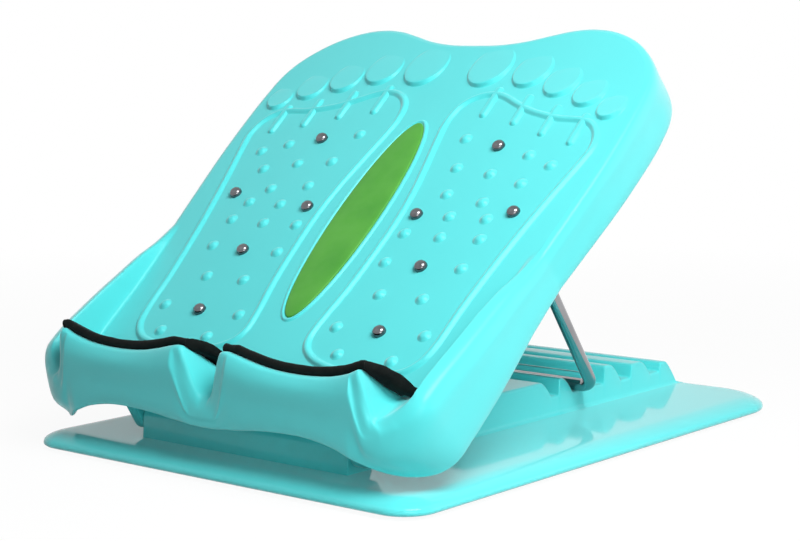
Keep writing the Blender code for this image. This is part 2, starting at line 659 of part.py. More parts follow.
# Support bail: one bent rod, in its notch at rest
PIVOT = to_world(clamp_v, PIVOT_W)
wall, _, floor, _, _ = NOTCHES[NOTCH_USED]
SEAT = (HINGE_Y + wall - ROD - GAP, BASE_TOP + floor + ROD + GAP)
LEG = math.dist(PIVOT, SEAT)
BAIL_TURN = math.atan2(SEAT[1] - PIVOT[1], SEAT[0] - PIVOT[0])
BAIL_AXIS = joint_empty("bail_axis", (0, *PIVOT), BAIL_TURN)


def rounded_path(corners, radius, steps):
    """The corners of a path, each turned on an arc."""
    path = [Vector(corners[0])]
    for a, b, c in zip(corners, corners[1:], corners[2:]):
        a, b, c = Vector(a), Vector(b), Vector(c)
        into, out = (b - a).normalized(), (c - b).normalized()
        for i in range(steps + 1):
            t = (math.pi / 2) * i / steps
            path.append(b - into * radius * (1 - math.sin(t)) + out * radius * (1 - math.cos(t)))
    return path + [Vector(corners[-1])]


def bent_rod(path, radius, sides):
    """Rings round a path that lies in one plane across the third axis."""
    rings = []
    for i, p in enumerate(path):
        ahead = path[min(i + 1, len(path) - 1)] - path[max(i - 1, 0)]
        across = Vector((ahead.y, -ahead.x, 0)).normalized()
        rings.append([tuple(p + across * radius * math.cos(a) + Vector((0, 0, radius * math.sin(a))))
                      for a in (2 * math.pi * j / sides for j in range(sides))])
    return loft(rings)


stub = CLAMP_U + CLAMP_WIDTH / 2 - 2.0
bail_path = rounded_path([(-stub, 0, 0), (-LEG_X, 0, 0), (-LEG_X, LEG, 0), (LEG_X, LEG, 0), (LEG_X, 0, 0), (stub, 0, 0)],
                         BAIL_BEND, 6)
mesh_object("support_bail", *bent_rod(bail_path, ROD, 16), "chrome", BAIL_AXIS)


# Base plate with its rack and hinge block
def base_plan(inset, steps):
    """The base's outline, drawn in by an inset."""
    found = []
    for sx, sy, start in ((1, 1, 0), (-1, 1, 90), (-1, -1, 180), (1, -1, 270)):
        corner = BASE_CORNER_REAR if sy > 0 else BASE_CORNER_FRONT
        for i in range(steps + 1):
            a = math.radians(start + 90 * i / steps)
            found.append((sx * (half_x - corner) + (corner - inset) * math.cos(a),
                          BASE_MIDDLE + sy * (half_y - corner) + (corner - inset) * math.sin(a)))
    return found


half_x, half_y = BASE_WIDTH / 2, BASE_LENGTH / 2
# A thin rim with a wide soft slope up to the top face, as (inset, share of the thickness)
RIM = ((1.5, 0.0), (0.2, 0.12), (0.0, 0.26), (0.8, 0.45), (3.0, 0.64), (7.5, 0.85), (12.5, 0.97), (17.5, 1.0))
plate_rings = [[(x, y, FOOT_DROP + share * BASE_THICK) for x, y in base_plan(inset, 9)] for inset, share in RIM]
BASE = mesh_object("base_plate", *loft(plate_rings), "aqua")


def rack_outline():
    """(y, z) of the rack's side, from its front ramp over the notches to its tail, then back inside the plate."""
    first = NOTCHES[0][3]
    outline = [(RACK_FRONT, 0), (RACK_FRONT + 12, first - 3), (RACK_FRONT + 18, first - 0.4), (RACK_FRONT + 26, first)]
    ridge = first
    for wall_y, floor_len, floor_z, ridge_z, ridge_len in NOTCHES:
        drop = ridge - floor_z
        start = wall_y - floor_len
        slope = 0.95 * drop + 1.4
        outline += [(start - slope * (1 - t), ridge - drop * t**1.6) for t in (0, 0.2, 0.4, 0.6, 0.8, 1)]
        outline += [(wall_y - 0.8, floor_z), (wall_y, floor_z + 0.8), (wall_y + 0.7, ridge_z - 3.0),
                    (wall_y + 1.6, ridge_z - 0.9), (wall_y + 3.2, ridge_z)]
        ridge = ridge_z
    last = NOTCHES[-1]
    outline += [(last[0] + last[4], last[3]), (RACK_TAIL - 6, 0.42 * last[3]), (RACK_TAIL - 2, 2), (RACK_TAIL, 0)]
    outline += [(RACK_TAIL, -4), (RACK_FRONT, -4)]
    return [(HINGE_Y + y, BASE_TOP + z) for y, z in outline]


profile = rack_outline()
rack_rings = []
for x, shrink in ((-RACK_HALF, 1.4), (1.4 - RACK_HALF, 0), (RACK_HALF - 1.4, 0), (RACK_HALF, 1.4)):
    rack_rings.append([(x, y, z - shrink if z > BASE_TOP + 3 else z) for y, z in profile])
boolean(BASE, mesh_object("rack", *loft(rack_rings)), "UNION")
block = [(HINGE_Y + HINGE_RADIUS * math.cos(a), HINGE_Z + HINGE_RADIUS * math.sin(a))
         for a in (math.radians(15 * i) for i in range(13))]
block += [(HINGE_Y - HINGE_RADIUS - 1, BASE_TOP - 4), (HINGE_Y + HINGE_RADIUS + 6, BASE_TOP - 4),
          (HINGE_Y + HINGE_RADIUS + 3, BASE_TOP + 3)]
boolean(BASE, mesh_object("hinge block", *prism(block, -BLOCK_HALF, BLOCK_HALF, 0)), "UNION")
rod_bore = prism(circle(HINGE_ROD + GAP, 20, (HINGE_Y, HINGE_Z)), -BLOCK_HALF - 5, BLOCK_HALF + 5, 0)

# Shallow recesses and the feet's seats in the underside
RECESS = 3.2
foot_x, foot_y = half_x - FOOT_INSET, half_y - FOOT_INSET
recess = []
rows = [BASE_MIDDLE + y for y in (-half_y + 22, -half_y / 3 - 4, half_y / 3 + 4, half_y - 22)]
for low, high in zip(rows, rows[1:]):
    for x0, x1 in ((-foot_x + 16, -3.0), (3.0, foot_x - 16)):
        recess.append(box((x0, low + 3, FOOT_DROP - 2), (x1, high - 3, FOOT_DROP + RECESS)))
seats = [moved(prism(circle(FOOT_RADIUS + GAP, 20), FOOT_DROP - 2, FOOT_DROP + 1.5, 2), sx * foot_x,
               BASE_MIDDLE + sy * foot_y) for sx in (-1, 1) for sy in (-1, 1)]
boolean(BASE, mesh_object("bore and recesses", *together(rod_bore, *recess, *seats)), "DIFFERENCE")

for sx, across in ((-1, "left"), (1, "right")):
    for sy, along in ((-1, "front"), (1, "rear")):
        foot = ((0, 0), (FOOT_RADIUS - 0.8, 0), (FOOT_RADIUS, 0.8), (FOOT_RADIUS, FOOT_DROP + 1.5 - GAP),
                (0, FOOT_DROP + 1.5 - GAP))
        place = (sx * foot_x, BASE_MIDDLE + sy * foot_y)
        mesh_object("rubber_foot_%s_%s" % (along, across), *moved(revolved(foot, 20), *place), "rubber")

# Hinge rod and its clips
rod_half = ear_u + EAR_WIDTH + 3.4
rod = loft([[(x, HINGE_Y + r * math.cos(a), HINGE_Z + r * math.sin(a)) for a in
             (2 * math.pi * i / 20 for i in range(20))]
            for x, r in ((-rod_half, HINGE_ROD - 0.6), (-rod_half + 0.6, HINGE_ROD), (rod_half - 0.6, HINGE_ROD),
                         (rod_half, HINGE_ROD - 0.6))])
mesh_object("hinge_rod", *rod, "steel")
clip_x = ear_u + EAR_WIDTH + 0.6
for side, word in ((-1, "left"), (1, "right")):
    start = clip_x if side > 0 else -clip_x - 1.6
    clip = moved(ring_of(6.4, 1.6, HINGE_ROD + 0.2, 20), start, HINGE_Y, HINGE_Z)
    mesh_object("hinge_clip_" + word, *clip, "steel")
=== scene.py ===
"""Looks of the slant board: moulded shells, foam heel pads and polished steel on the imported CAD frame.

Sizes are in millimetres and become metres when a mesh is written. On the board, u runs across, v up the slope
and w out of the top face. The base works in the frame's own x, y and z.
"""
import logging
import math
from dataclasses import dataclass
from enum import Enum
from typing import ClassVar, Optional, Sequence

import bmesh
import bpy
from mathutils import Matrix, Vector, noise


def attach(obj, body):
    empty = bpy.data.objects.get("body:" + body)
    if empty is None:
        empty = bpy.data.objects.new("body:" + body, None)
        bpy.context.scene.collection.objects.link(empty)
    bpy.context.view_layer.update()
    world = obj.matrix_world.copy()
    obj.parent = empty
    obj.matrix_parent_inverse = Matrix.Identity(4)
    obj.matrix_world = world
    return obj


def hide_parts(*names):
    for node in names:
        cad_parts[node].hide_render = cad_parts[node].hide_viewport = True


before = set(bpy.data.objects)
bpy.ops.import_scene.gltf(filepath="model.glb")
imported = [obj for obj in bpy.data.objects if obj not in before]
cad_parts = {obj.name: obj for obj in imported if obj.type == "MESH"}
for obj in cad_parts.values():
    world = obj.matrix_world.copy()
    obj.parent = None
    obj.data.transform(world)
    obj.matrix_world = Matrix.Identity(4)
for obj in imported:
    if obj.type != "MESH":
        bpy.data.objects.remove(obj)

LOG = logging.getLogger("slant_board")
MM = 0.001
GAP = 0.3
ROUND_FROM = 35.0  # degrees from which an edge counts as sharp when it is rounded
# Edges that turn by more degrees than this shade sharp: on plain pieces, on rubber and foam, on low relief
CREASE, SOFT_CREASE, LOW_CREASE = 38.0, 60.0, 80.0
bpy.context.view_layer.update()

Pair = tuple[float, float]
Point = tuple[float, float, float]
Face = tuple[int, ...]
Shape = tuple[list[Point], list[Face]]
Table = tuple[Pair, ...]


class Body(Enum):
    """The CAD bodies that pieces ride on."""

    BASE = "base"
    BOARD = "board"
    BAIL = "bail"


class Slot(Enum):
    """The record's material slots."""

    AQUA = "aqua_plastic"
    GREEN = "green_inlay"
    FOAM = "pad_foam"
    STUD = "chrome_stud"
    ROD = "chrome_rod"
    STEEL = "zinc_steel"
    RUBBER = "foot_rubber"


class Side(Enum):
    """The two halves of the board, as the sign of u."""

    LEFT = -1
    RIGHT = 1


class Grain(Enum):
    """What roughens a surface."""

    MOULDED = "moulded"
    CELLS = "cells"
    DRAWN = "drawn"


# Curves and shapes


def table_value(table: Table, x: float) -> float:
    """Reads a smooth curve through the points of a table, level beyond its ends.

    Args:
        table: Points of the curve, in rising order.
        x: Where to read it.

    Returns:
        The curve's height at x.
    """
    if x <= table[0][0]:
        return table[0][1]
    if x >= table[-1][0]:
        return table[-1][1]
    i = max(k for k in range(len(table) - 1) if table[k][0] <= x)
    (x0, y0), (x1, y1) = table[i], table[i + 1]
    before = table[i - 1] if i else table[i]
    after = table[i + 2] if i + 2 < len(table) else table[i + 1]
    m0 = (y1 - before[1]) / (x1 - before[0])
    m1 = (after[1] - y0) / (after[0] - x0)
    h = x1 - x0
    t = (x - x0) / h
    return ((2 * t**3 - 3 * t**2 + 1) * y0 + (t**3 - 2 * t**2 + t) * h * m0
            + (3 * t**2 - 2 * t**3) * y1 + (t**3 - t**2) * h * m1)


def mix(a: float, b: float, t: float) -> float:
    """Returns the value a share t of the way from a to b."""
    return a + (b - a) * t


def portion(x: float, low: float, high: float) -> float:
    """Returns how far x is on its way from low to high, as 0 to 1."""
    return min(1.0, max(0.0, (x - low) / (high - low)))


def ease(t: float) -> float:
    """Returns a value that goes smoothly from 0 to 1 as t does."""
    t = portion(t, 0, 1)
    return t * t * (3 - 2 * t)


def steps(low: float, high: float, size: float) -> list[float]:
    """Returns even places from low to high, about a size apart, with both ends."""
    count = max(1, round((high - low) / size))
    return [mix(low, high, i / count) for i in range(count + 1)]


def spline(knots: Sequence[Vector], per: int, closed: bool = False) -> list[Vector]:
    """Draws a smooth line through knots that stand unevenly apart.

    Args:
        knots: Points on the line.
        per: How many steps to take between two knots.
        closed: Whether the line comes back to its first knot.

    Returns:
        The points of the line, without a repeat of the first where it is closed.
    """
    count = len(knots)
    if closed:
        row = [knots[-1], *knots, knots[0], knots[1]]
    else:
        row = [2 * knots[0] - knots[1], *knots, 2 * knots[-1] - knots[-2]]
    line: list[Vector] = []
    for i in range(count if closed else count - 1):
        p = row[i:i + 4]
        t = [0.0]
        for a, b in zip(p, p[1:]):
            t.append(t[-1] + max((b - a).length, 1e-4) ** 0.5)
        for k in range(per):
            s = mix(t[1], t[2], k / per)
            a = [p[j] + (p[j + 1] - p[j]) * ((s - t[j]) / (t[j + 1] - t[j])) for j in range(3)]
            b = [a[j] + (a[j + 1] - a[j]) * ((s - t[j]) / (t[j + 2] - t[j])) for j in range(2)]
            line.append(b[0] + (b[1] - b[0]) * ((s - t[1]) / (t[2] - t[1])))
    return line if closed else line + [knots[-1].copy()]


def round_corners(line: Sequence[Pair], rounds: int) -> list[Pair]:
    """Cuts the corners of an open line again and again, keeping its ends.

    Args:
        line: Corners of the line.
        rounds: How many times to cut.

    Returns:
        The rounded line.
    """
    found = list(line)
    for _ in range(rounds):
        cut = [found[0]]
        for (a, b), (c, d) in zip(found, found[1:]):
            cut += [(mix(a, c, 0.25), mix(b, d, 0.25)), (mix(a, c, 0.75), mix(b, d, 0.75))]
        found = cut + [found[-1]]
    return found


def loft(rings: Sequence[Sequence[Sequence[float]]], round_ring: bool = True, round_path: bool = False,
         caps: bool = True) -> Shape:
    """Skins a surface through rings of as many points each.

    Args:
        rings: The rings, in order.
        round_ring: Whether each ring closes on itself.
        round_path: Whether the last ring joins the first.
        caps: Whether the first and last ring are filled.

    Returns:
        Points and faces of the surface.
    """
    count, total = len(rings[0]), len(rings)
    points = [tuple(p) for ring in rings for p in ring]
    faces: list[Face] = []
    for i in range(total if round_path else total - 1):
        n = (i + 1) % total
        for j in range(count if round_ring else count - 1):
            k = (j + 1) % count
            faces.append((i * count + j, i * count + k, n * count + k, n * count + j))
    if caps and not round_path:
        faces += [tuple(range(count)), tuple(range(count * (total - 1), count * total))]
    return points, faces


def around(sides: int) -> list[float]:
    """Returns even angles round a full turn."""
    return [2 * math.pi * i / sides for i in range(sides)]


def circle(radius: float, sides: int, middle: Pair = (0.0, 0.0)) -> list[Pair]:
    """Returns the corners of a circle."""
    return [(middle[0] + radius * math.cos(a), middle[1] + radius * math.sin(a)) for a in around(sides)]


def arc(middle: Pair, half: Pair, first: float, last: float, count: int) -> list[Pair]:
    """Draws part of an oval.

    Args:
        middle: Its middle.
        half: Half its sizes.
        first: The angle where it starts, in degrees.
        last: The angle where it ends.
        count: Steps between them.

    Returns:
        The points along it, with both ends.
    """
    angles = [math.radians(first + (last - first) * i / count) for i in range(count + 1)]
    return [(middle[0] + half[0] * math.cos(a), middle[1] + half[1] * math.sin(a)) for a in angles]


def turned(profile: Sequence[Pair], middle: Pair, sides: int, bored: bool = False) -> Shape:
    """Turns a profile about a line along the first axis.

    Args:
        profile: (radius, place along the line) points, at the ends on the line unless there is a bore.
        middle: Where the line stands in the other two axes.
        sides: Steps round the line.
        bored: Whether the profile closes on itself round a bore.

    Returns:
        Points and faces of the closed solid.
    """
    return loft([[(x, *p) for p in circle(radius, sides, middle)] for radius, x in profile], round_path=bored)


def rounded_plan(low: Pair, high: Pair, radius: float, each: int, far: Optional[float] = None) -> list[Pair]:
    """Draws a rectangle with round corners.

    Args:
        low: Its lowest corner.
        high: Its highest corner.
        radius: Of the corners.
        each: Steps in each corner.
        far: Radius of the two corners at the high end, where it differs.

    Returns:
        The points of the outline.
    """
    found: list[Pair] = []
    for right, rear, start in ((True, True, 0), (False, True, 90), (False, False, 180), (True, False, 270)):
        r = far if rear and far is not None else radius
        x = high[0] - r if right else low[0] + r
        y = high[1] - r if rear else low[1] + r
        found += arc((x, y), (r, r), start, start + 90, each)
    return found


def filled(outline: Sequence[Pair],
           holes: Sequence[Sequence[Pair]]) -> tuple[list[Pair], list[Face], list[range]]:
    """Fills a flat outline, leaving holes open.

    Args:
        outline: The outer corners.
        holes: The corners of each hole.

    Returns:
        All the corners, the triangles between them, and the corners' numbers loop by loop.
    """
    work = bmesh.new()
    corners: list[Pair] = []
    loops: list[range] = []
    for loop in (outline, *holes):
        loops.append(range(len(corners), len(corners) + len(loop)))
        corners += loop
        verts = [work.verts.new((a, b, 0)) for a, b in loop]
        for first, second in zip(verts, verts[1:] + verts[:1]):
            work.edges.new((first, second))
    work.verts.index_update()
    bmesh.ops.triangle_fill(work, use_beauty=True, edges=work.edges[:], normal=(0, 0, 1))
    faces = [tuple(v.index for v in face.verts) for face in work.faces]
    work.free()
    return corners, faces, loops


def pierced(outline: Sequence[Pair], holes: Sequence[Sequence[Pair]], low: float, high: float) -> Shape:
    """Pushes a flat outline with holes along the first axis.

    Args:
        outline: Outer corners, in the second and third axes.
        holes: Corners of each hole.
        low: Where the solid starts.
        high: Where it ends.

    Returns:
        Points and faces of the closed solid.
    """
    corners, fill, loops = filled(outline, holes)
    count = len(corners)
    points = [(x, a, b) for x in (low, high) for a, b in corners]
    faces = fill + [tuple(i + count for i in face) for face in fill]
    for loop in loops:
        row = list(loop)
        faces += [(i, k, k + count, i + count) for i, k in zip(row, row[1:] + row[:1])]
    return points, faces


def block(low: Point, high: Point) -> Shape:
    """Returns a box between two corners."""
    (x0, y0, z0), (x1, y1, z1) = low, high
    return loft([[(x0, y0, z), (x1, y0, z), (x1, y1, z), (x0, y1, z)] for z in (z0, z1)])


def softened(shape: Shape, width: float, segments: int = 3) -> Shape:
    """Rounds the sharp edges of a solid.

    Args:
        shape: The solid.
        width: How far the rounding reaches from the edge.
        segments: Steps across it.

    Returns:
        The rounded solid.
    """
    work = bmesh.new()
    verts = [work.verts.new(p) for p in shape[0]]
    for face in shape[1]:
        work.faces.new([verts[i] for i in face])
    bmesh.ops.recalc_face_normals(work, faces=work.faces[:])
    least = math.radians(ROUND_FROM)
    sharp = [e for e in work.edges if len(e.link_faces) == 2 and e.calc_face_angle(0.0) > least]
    bmesh.ops.bevel(work, geom=sharp, offset=width, segments=segments, profile=0.5, affect="EDGES",
                    clamp_overlap=True)
    work.verts.index_update()
    found = [tuple(v.co) for v in work.verts], [tuple(v.index for v in f.verts) for f in work.faces]
    work.free()
    return found


def tube(path: Sequence[Vector], radius: float, sides: int) -> Shape:
    """Makes a round rod along a path in the first two axes, with narrowed ends.

    Args:
        path: Points along the middle of the rod.
        radius: Of the rod.
        sides: Steps round it.

    Returns:
        Points and faces of the closed rod.
    """
    # The end rings' sizes as shares of the rod's, and how far along it a ring of no size would stand
    ends, reach = (0.72, 0.92, 1.0), 0.6 * radius

    def ring(at: Vector, ahead: Vector, size: float) -> list[Vector]:
        """Returns one ring round a point of the path."""
        across = Vector((ahead.y, -ahead.x, 0)).normalized()
        return [at + across * size * math.cos(a) + Vector((0, 0, size * math.sin(a))) for a in around(sides)]

    def end(at: Vector, ahead: Vector) -> list[list[Vector]]:
        """Returns the rings at one end of the path, smallest first."""
        ahead = ahead.normalized()
        return [ring(at + ahead * reach * (1 - share), ahead, radius * share) for share in ends]

    rings = end(path[0], path[1] - path[0])
    rings += [ring(at, after - before, radius) for before, at, after in zip(path, path[1:], path[2:])]
    return loft(rings + end(path[-1], path[-1] - path[-2])[::-1])


def bent(corners: Sequence[Vector], radius: float, each: int) -> list[Vector]:
    """Turns the corners of a path on arcs.

    Args:
        corners: The path's corners, at right angles.
        radius: Of the arcs.
        each: Steps in each arc.

    Returns:
        The points of the bent path.
    """
    path = [corners[0]]
    for a, b, c in zip(corners, corners[1:], corners[2:]):
        into, out = (b - a).normalized(), (c - b).normalized()
        for t in (math.pi / 2 * i / each for i in range(each + 1)):
            path.append(b - into * radius * (1 - math.sin(t)) + out * radius * (1 - math.cos(t)))
    return path + [corners[-1]]


def together(*shapes: Shape) -> Shape:
    """Puts several shapes into one.

    Args:
        shapes: The shapes.

    Returns:
        All their points and faces.
    """
    points: list[Point] = []
    faces: list[Face] = []
    for more, sides in shapes:
        faces += [tuple(i + len(points) for i in face) for face in sides]
        points += more
    return points, faces


def both_sides(shape: Shape) -> Shape:
    """Returns a shape and its mirror image across the middle of the board."""
    return together(shape, ([(-x, y, z) for x, y, z in shape[0]], [face[::-1] for face in shape[1]]))


def placed(shape: Shape, place: Matrix) -> Shape:
    """Returns a shape moved by a matrix in millimetres."""
    return [tuple(place @ Vector(p)) for p in shape[0]], shape[1]


# Nodes


class NodeSheet:
    """A node tree in the making, with short ways to add nodes."""

    def __init__(self, tree: bpy.types.NodeTree) -> None:
        """Starts on the tree of a material, a world or a modifier."""
        self.tree = tree

    def fill(self, node: bpy.types.Node, **inputs: object) -> bpy.types.Node:
        """Sets a node's inputs.

        Args:
            node: The node.
            inputs: Sockets or plain values, with _ for a space and in0, in1 for the first, second.

        Returns:
            The node.
        """
        for key, value in inputs.items():
            place = int(key[2:]) if key[:2] == "in" and key[2:].isdigit() else key.replace("_", " ")
            if isinstance(value, bpy.types.NodeSocket):
                self.tree.links.new(value, node.inputs[place])
            else:
                node.inputs[place].default_value = value
        return node

    def add(self, kind: str, settings: Optional[dict] = None, **inputs: object) -> bpy.types.Node:
        """Adds a node.

        Args:
            kind: The node's type.
            settings: Its properties.
            inputs: Its inputs, as fill takes them.

        Returns:
            The node.
        """
        node = self.tree.nodes.new(kind)
        for key, value in (settings or {}).items():
            setattr(node, key, value)
        return self.fill(node, **inputs)

    def calc(self, operation: str, *values: object) -> bpy.types.NodeSocket:
        """Adds a math node and returns its result."""
        inputs = {"in%d" % i: value for i, value in enumerate(values)}
        return self.add("ShaderNodeMath", {"operation": operation}, **inputs).outputs[0]


class ShapeSheet(NodeSheet):
    """A geometry node tree that grows a shape on points or along lines."""

    def __init__(self, name: str, sizes: Sequence[str]) -> None:
        """Starts a tree.

        Args:
            name: Of the tree.
            sizes: Names of its inputs for sizes, in metres or plain numbers.
        """
        super().__init__(bpy.data.node_groups.new(name, "GeometryNodeTree"))
        face = self.tree.interface
        face.new_socket("Geometry", in_out="INPUT", socket_type="NodeSocketGeometry")
        for size in sizes:
            face.new_socket(size, in_out="INPUT", socket_type="NodeSocketFloat")
        face.new_socket("Finish", in_out="INPUT", socket_type="NodeSocketMaterial")
        face.new_socket("Geometry", in_out="OUTPUT", socket_type="NodeSocketGeometry")
        self.start = self.tree.nodes.new("NodeGroupInput")

    def size(self, name: str) -> bpy.types.NodeSocket:
        """Returns one of the tree's inputs."""
        return self.start.outputs[name]

    def place(self) -> Sequence[bpy.types.NodeSocket]:
        """Adds the place of a point and returns its x, y and z."""
        place = self.add("GeometryNodeInputPosition").outputs[0]
        return self.add("ShaderNodeSeparateXYZ", in0=place).outputs

    def away(self, place: Sequence[bpy.types.NodeSocket]) -> bpy.types.NodeSocket:
        """Returns how far a place is from the third axis."""
        squares = [self.calc("MULTIPLY", side, side) for side in (place[0], place[1])]
        return self.calc("SQRT", self.calc("ADD", *squares))

    def swell(self, share: bpy.types.NodeSocket) -> bpy.types.NodeSocket:
        """Returns a height that falls in a soft wave, from Height at share 0 to nothing at share 1."""
        wave = self.calc("COSINE", self.calc("MULTIPLY", share, math.pi))
        return self.calc("MULTIPLY", self.calc("MULTIPLY_ADD", wave, 0.5, 0.5), self.size("Height"))

    def spot(self, x: object, y: object, z: object) -> bpy.types.NodeSocket:
        """Adds a vector and returns it."""
        return self.add("ShaderNodeCombineXYZ", X=x, Y=y, Z=z).outputs[0]

    def cylinder(self, radius: object, depth: object, sides: int, rows: int) -> bpy.types.NodeSocket:
        """Adds an upright cylinder.

        Args:
            radius: Its radius.
            depth: Its height.
            sides: Steps round it.
            rows: Rings in its end faces.

        Returns:
            Its geometry.
        """
        fan = {"fill_type": "TRIANGLE_FAN"}
        return self.add("GeometryNodeMeshCylinder", fan, Vertices=sides, Side_Segments=1, Fill_Segments=rows,
                        Radius=radius, Depth=depth).outputs[0]

    def moved(self, shape: bpy.types.NodeSocket, **how: bpy.types.NodeSocket) -> bpy.types.NodeSocket:
        """Returns a shape with its points at a new Position, or moved by an Offset."""
        return self.add("GeometryNodeSetPosition", Geometry=shape, **how).outputs[0]

    def copies(self, shape: bpy.types.NodeSocket) -> bpy.types.NodeTree:
        """Ends the tree in a copy of a shape on each of its points, and returns the tree."""
        rows = self.add("GeometryNodeInstanceOnPoints", Points=self.size("Geometry"), Instance=shape)
        return self.end(rows.outputs[0])

    def end(self, result: bpy.types.NodeSocket) -> bpy.types.NodeTree:
        """Ends the tree in real, smooth, finished geometry.

        Args:
            result: The geometry so far.

        Returns:
            The tree.
        """
        real = self.add("GeometryNodeRealizeInstances", Geometry=result)
        smooth = self.add("GeometryNodeSetShadeSmooth", Geometry=real.outputs[0])
        coat = self.add("GeometryNodeSetMaterial", Geometry=smooth.outputs[0], Material=self.size("Finish"))
        self.add("NodeGroupOutput", in0=coat.outputs[0])
        return self.tree


HAIR = 0.00003  # metres that a raised form's foot is sunk below the surface


def dome_tree() -> bpy.types.NodeTree:
    """Makes the tree of raised nubs and bars: domes that flare out level with the surface at their foot.

    Returns:
        A tree that puts a dome on each point, with sizes Radius, Height, Stretch, Fullness and Sink.
    """
    sheet = ShapeSheet("raised domes", ("Radius", "Height", "Stretch", "Fullness", "Sink"))
    radius, sink, place = sheet.size("Radius"), sheet.size("Sink"), sheet.place()
    out = sheet.calc("MINIMUM", sheet.calc("DIVIDE", sheet.away(place), radius), 1.0)
    swell = sheet.swell(sheet.calc("POWER", out, sheet.size("Fullness")))
    top = sheet.calc("MULTIPLY", sheet.calc("GREATER_THAN", place[2], 0.0), swell)
    lift = sheet.calc("SUBTRACT", top, sheet.calc("MULTIPLY_ADD", sink, 0.5, HAIR))
    half = sheet.calc("MULTIPLY", sheet.size("Stretch"), 0.5)
    apart = sheet.calc("MULTIPLY", sheet.calc("SIGN", place[1]), half)
    drum = sheet.cylinder(radius, sink, sides=28, rows=9)
    return sheet.copies(sheet.moved(drum, Offset=sheet.spot(0.0, apart, lift)))


def button_tree() -> bpy.types.NodeTree:
    """Makes the tree of studs, screws and feet: a round head with a rim on a stem.

    Returns:
        A tree that puts a button on each point, with sizes Radius, Height, Rim, Flatness, Stem Radius and
        Stem Length.
    """
    # The least spread and distance, so that the middle point makes no power of zero and no division by it
    least, nearest = 0.0001, 0.0000001
    overlap = 0.0002  # metres that the stem reaches into the head
    sizes = ("Radius", "Height", "Rim", "Flatness", "Stem Radius", "Stem Length")
    sheet = ShapeSheet("headed buttons", sizes)
    radius, rim, flatness = (sheet.size(name) for name in ("Radius", "Rim", "Flatness"))
    place = sheet.place()
    out = sheet.away(place)
    share = sheet.calc("MINIMUM", sheet.calc("DIVIDE", out, radius), 1.0)
    turn = sheet.calc("MULTIPLY", share, math.pi / 2)
    spread = sheet.calc("POWER", sheet.calc("MAXIMUM", sheet.calc("SINE", turn), least), flatness)
    rise = sheet.calc("POWER", sheet.calc("MAXIMUM", sheet.calc("COSINE", turn), 0.0), flatness)
    grown = sheet.calc("DIVIDE", sheet.calc("MULTIPLY", spread, radius), sheet.calc("MAXIMUM", out, nearest))
    # Only the upper face of the head is domed
    top = sheet.calc("GREATER_THAN", place[2], 0.0)
    wide = sheet.calc("ADD", sheet.calc("MULTIPLY", top, sheet.calc("SUBTRACT", grown, 1.0)), 1.0)
    dome = sheet.calc("MULTIPLY", top, sheet.calc("MULTIPLY", rise, sheet.size("Height")))
    high = sheet.calc("ADD", sheet.calc("MULTIPLY_ADD", rim, 0.5, place[2]), dome)
    x, y = (sheet.calc("MULTIPLY", side, wide) for side in (place[0], place[1]))
    drum = sheet.cylinder(radius, rim, sides=32, rows=10)
    head = sheet.moved(drum, Position=sheet.spot(x, y, high))
    length = sheet.size("Stem Length")
    drop = sheet.spot(0.0, 0.0, sheet.calc("MULTIPLY_ADD", length, -0.5, overlap))
    pin = sheet.cylinder(sheet.size("Stem Radius"), length, sides=20, rows=1)
    stem = sheet.moved(pin, Offset=drop)
    whole = sheet.add("GeometryNodeJoinGeometry")
    for part in (head, stem):
        sheet.fill(whole, in0=part)
    return sheet.copies(whole.outputs[0])


def button_sizes(radius: float, height: float, rim: float, flatness: float, stem: Pair) -> dict[str, float]:
    """Returns the sizes of one kind of button, as its tree names them."""
    return {"Radius": radius, "Height": height, "Rim": rim, "Flatness": flatness, "Stem Radius": stem[0],
            "Stem Length": stem[1]}


def strip_tree() -> bpy.types.NodeTree:
    """Makes the tree of moulded beads: a low rounded strip along closed lines, flared level at both edges.

    Returns:
        A tree that runs a bead along the mesh's edges, with sizes Width, Height and Fullness.
    """
    sheet = ShapeSheet("moulded beads", ("Width", "Height", "Fullness"))
    count, place = 15, sheet.place()
    row = sheet.add("GeometryNodeMeshLine", {"mode": "OFFSET"}, Count=count,
                    Start_Location=(-1.0, 0.0, 0.0), Offset=(2 / (count - 1), 0.0, 0.0))
    swell = sheet.swell(sheet.calc("POWER", sheet.calc("ABSOLUTE", place[0]), sheet.size("Fullness")))
    across = sheet.calc("MULTIPLY", place[0], sheet.calc("MULTIPLY", sheet.size("Width"), 0.5))
    spot = sheet.spot(across, sheet.calc("SUBTRACT", HAIR, swell), 0.0)
    section = sheet.moved(row.outputs[0], Position=spot)
    profile = sheet.add("GeometryNodeMeshToCurve", Mesh=section)
    closed = sheet.add("GeometryNodeSetSplineCyclic", Geometry=profile.outputs[0], Cyclic=True)
    path = sheet.add("GeometryNodeMeshToCurve", Mesh=sheet.size("Geometry"))
    level = sheet.add("GeometryNodeSetCurveNormal", {"mode": "Z_UP"}, Curve=path.outputs[0])
    bead = sheet.add("GeometryNodeCurveToMesh", Curve=level.outputs[0], Profile_Curve=closed.outputs[0])
    return sheet.end(bead.outputs[0])


# Finishes


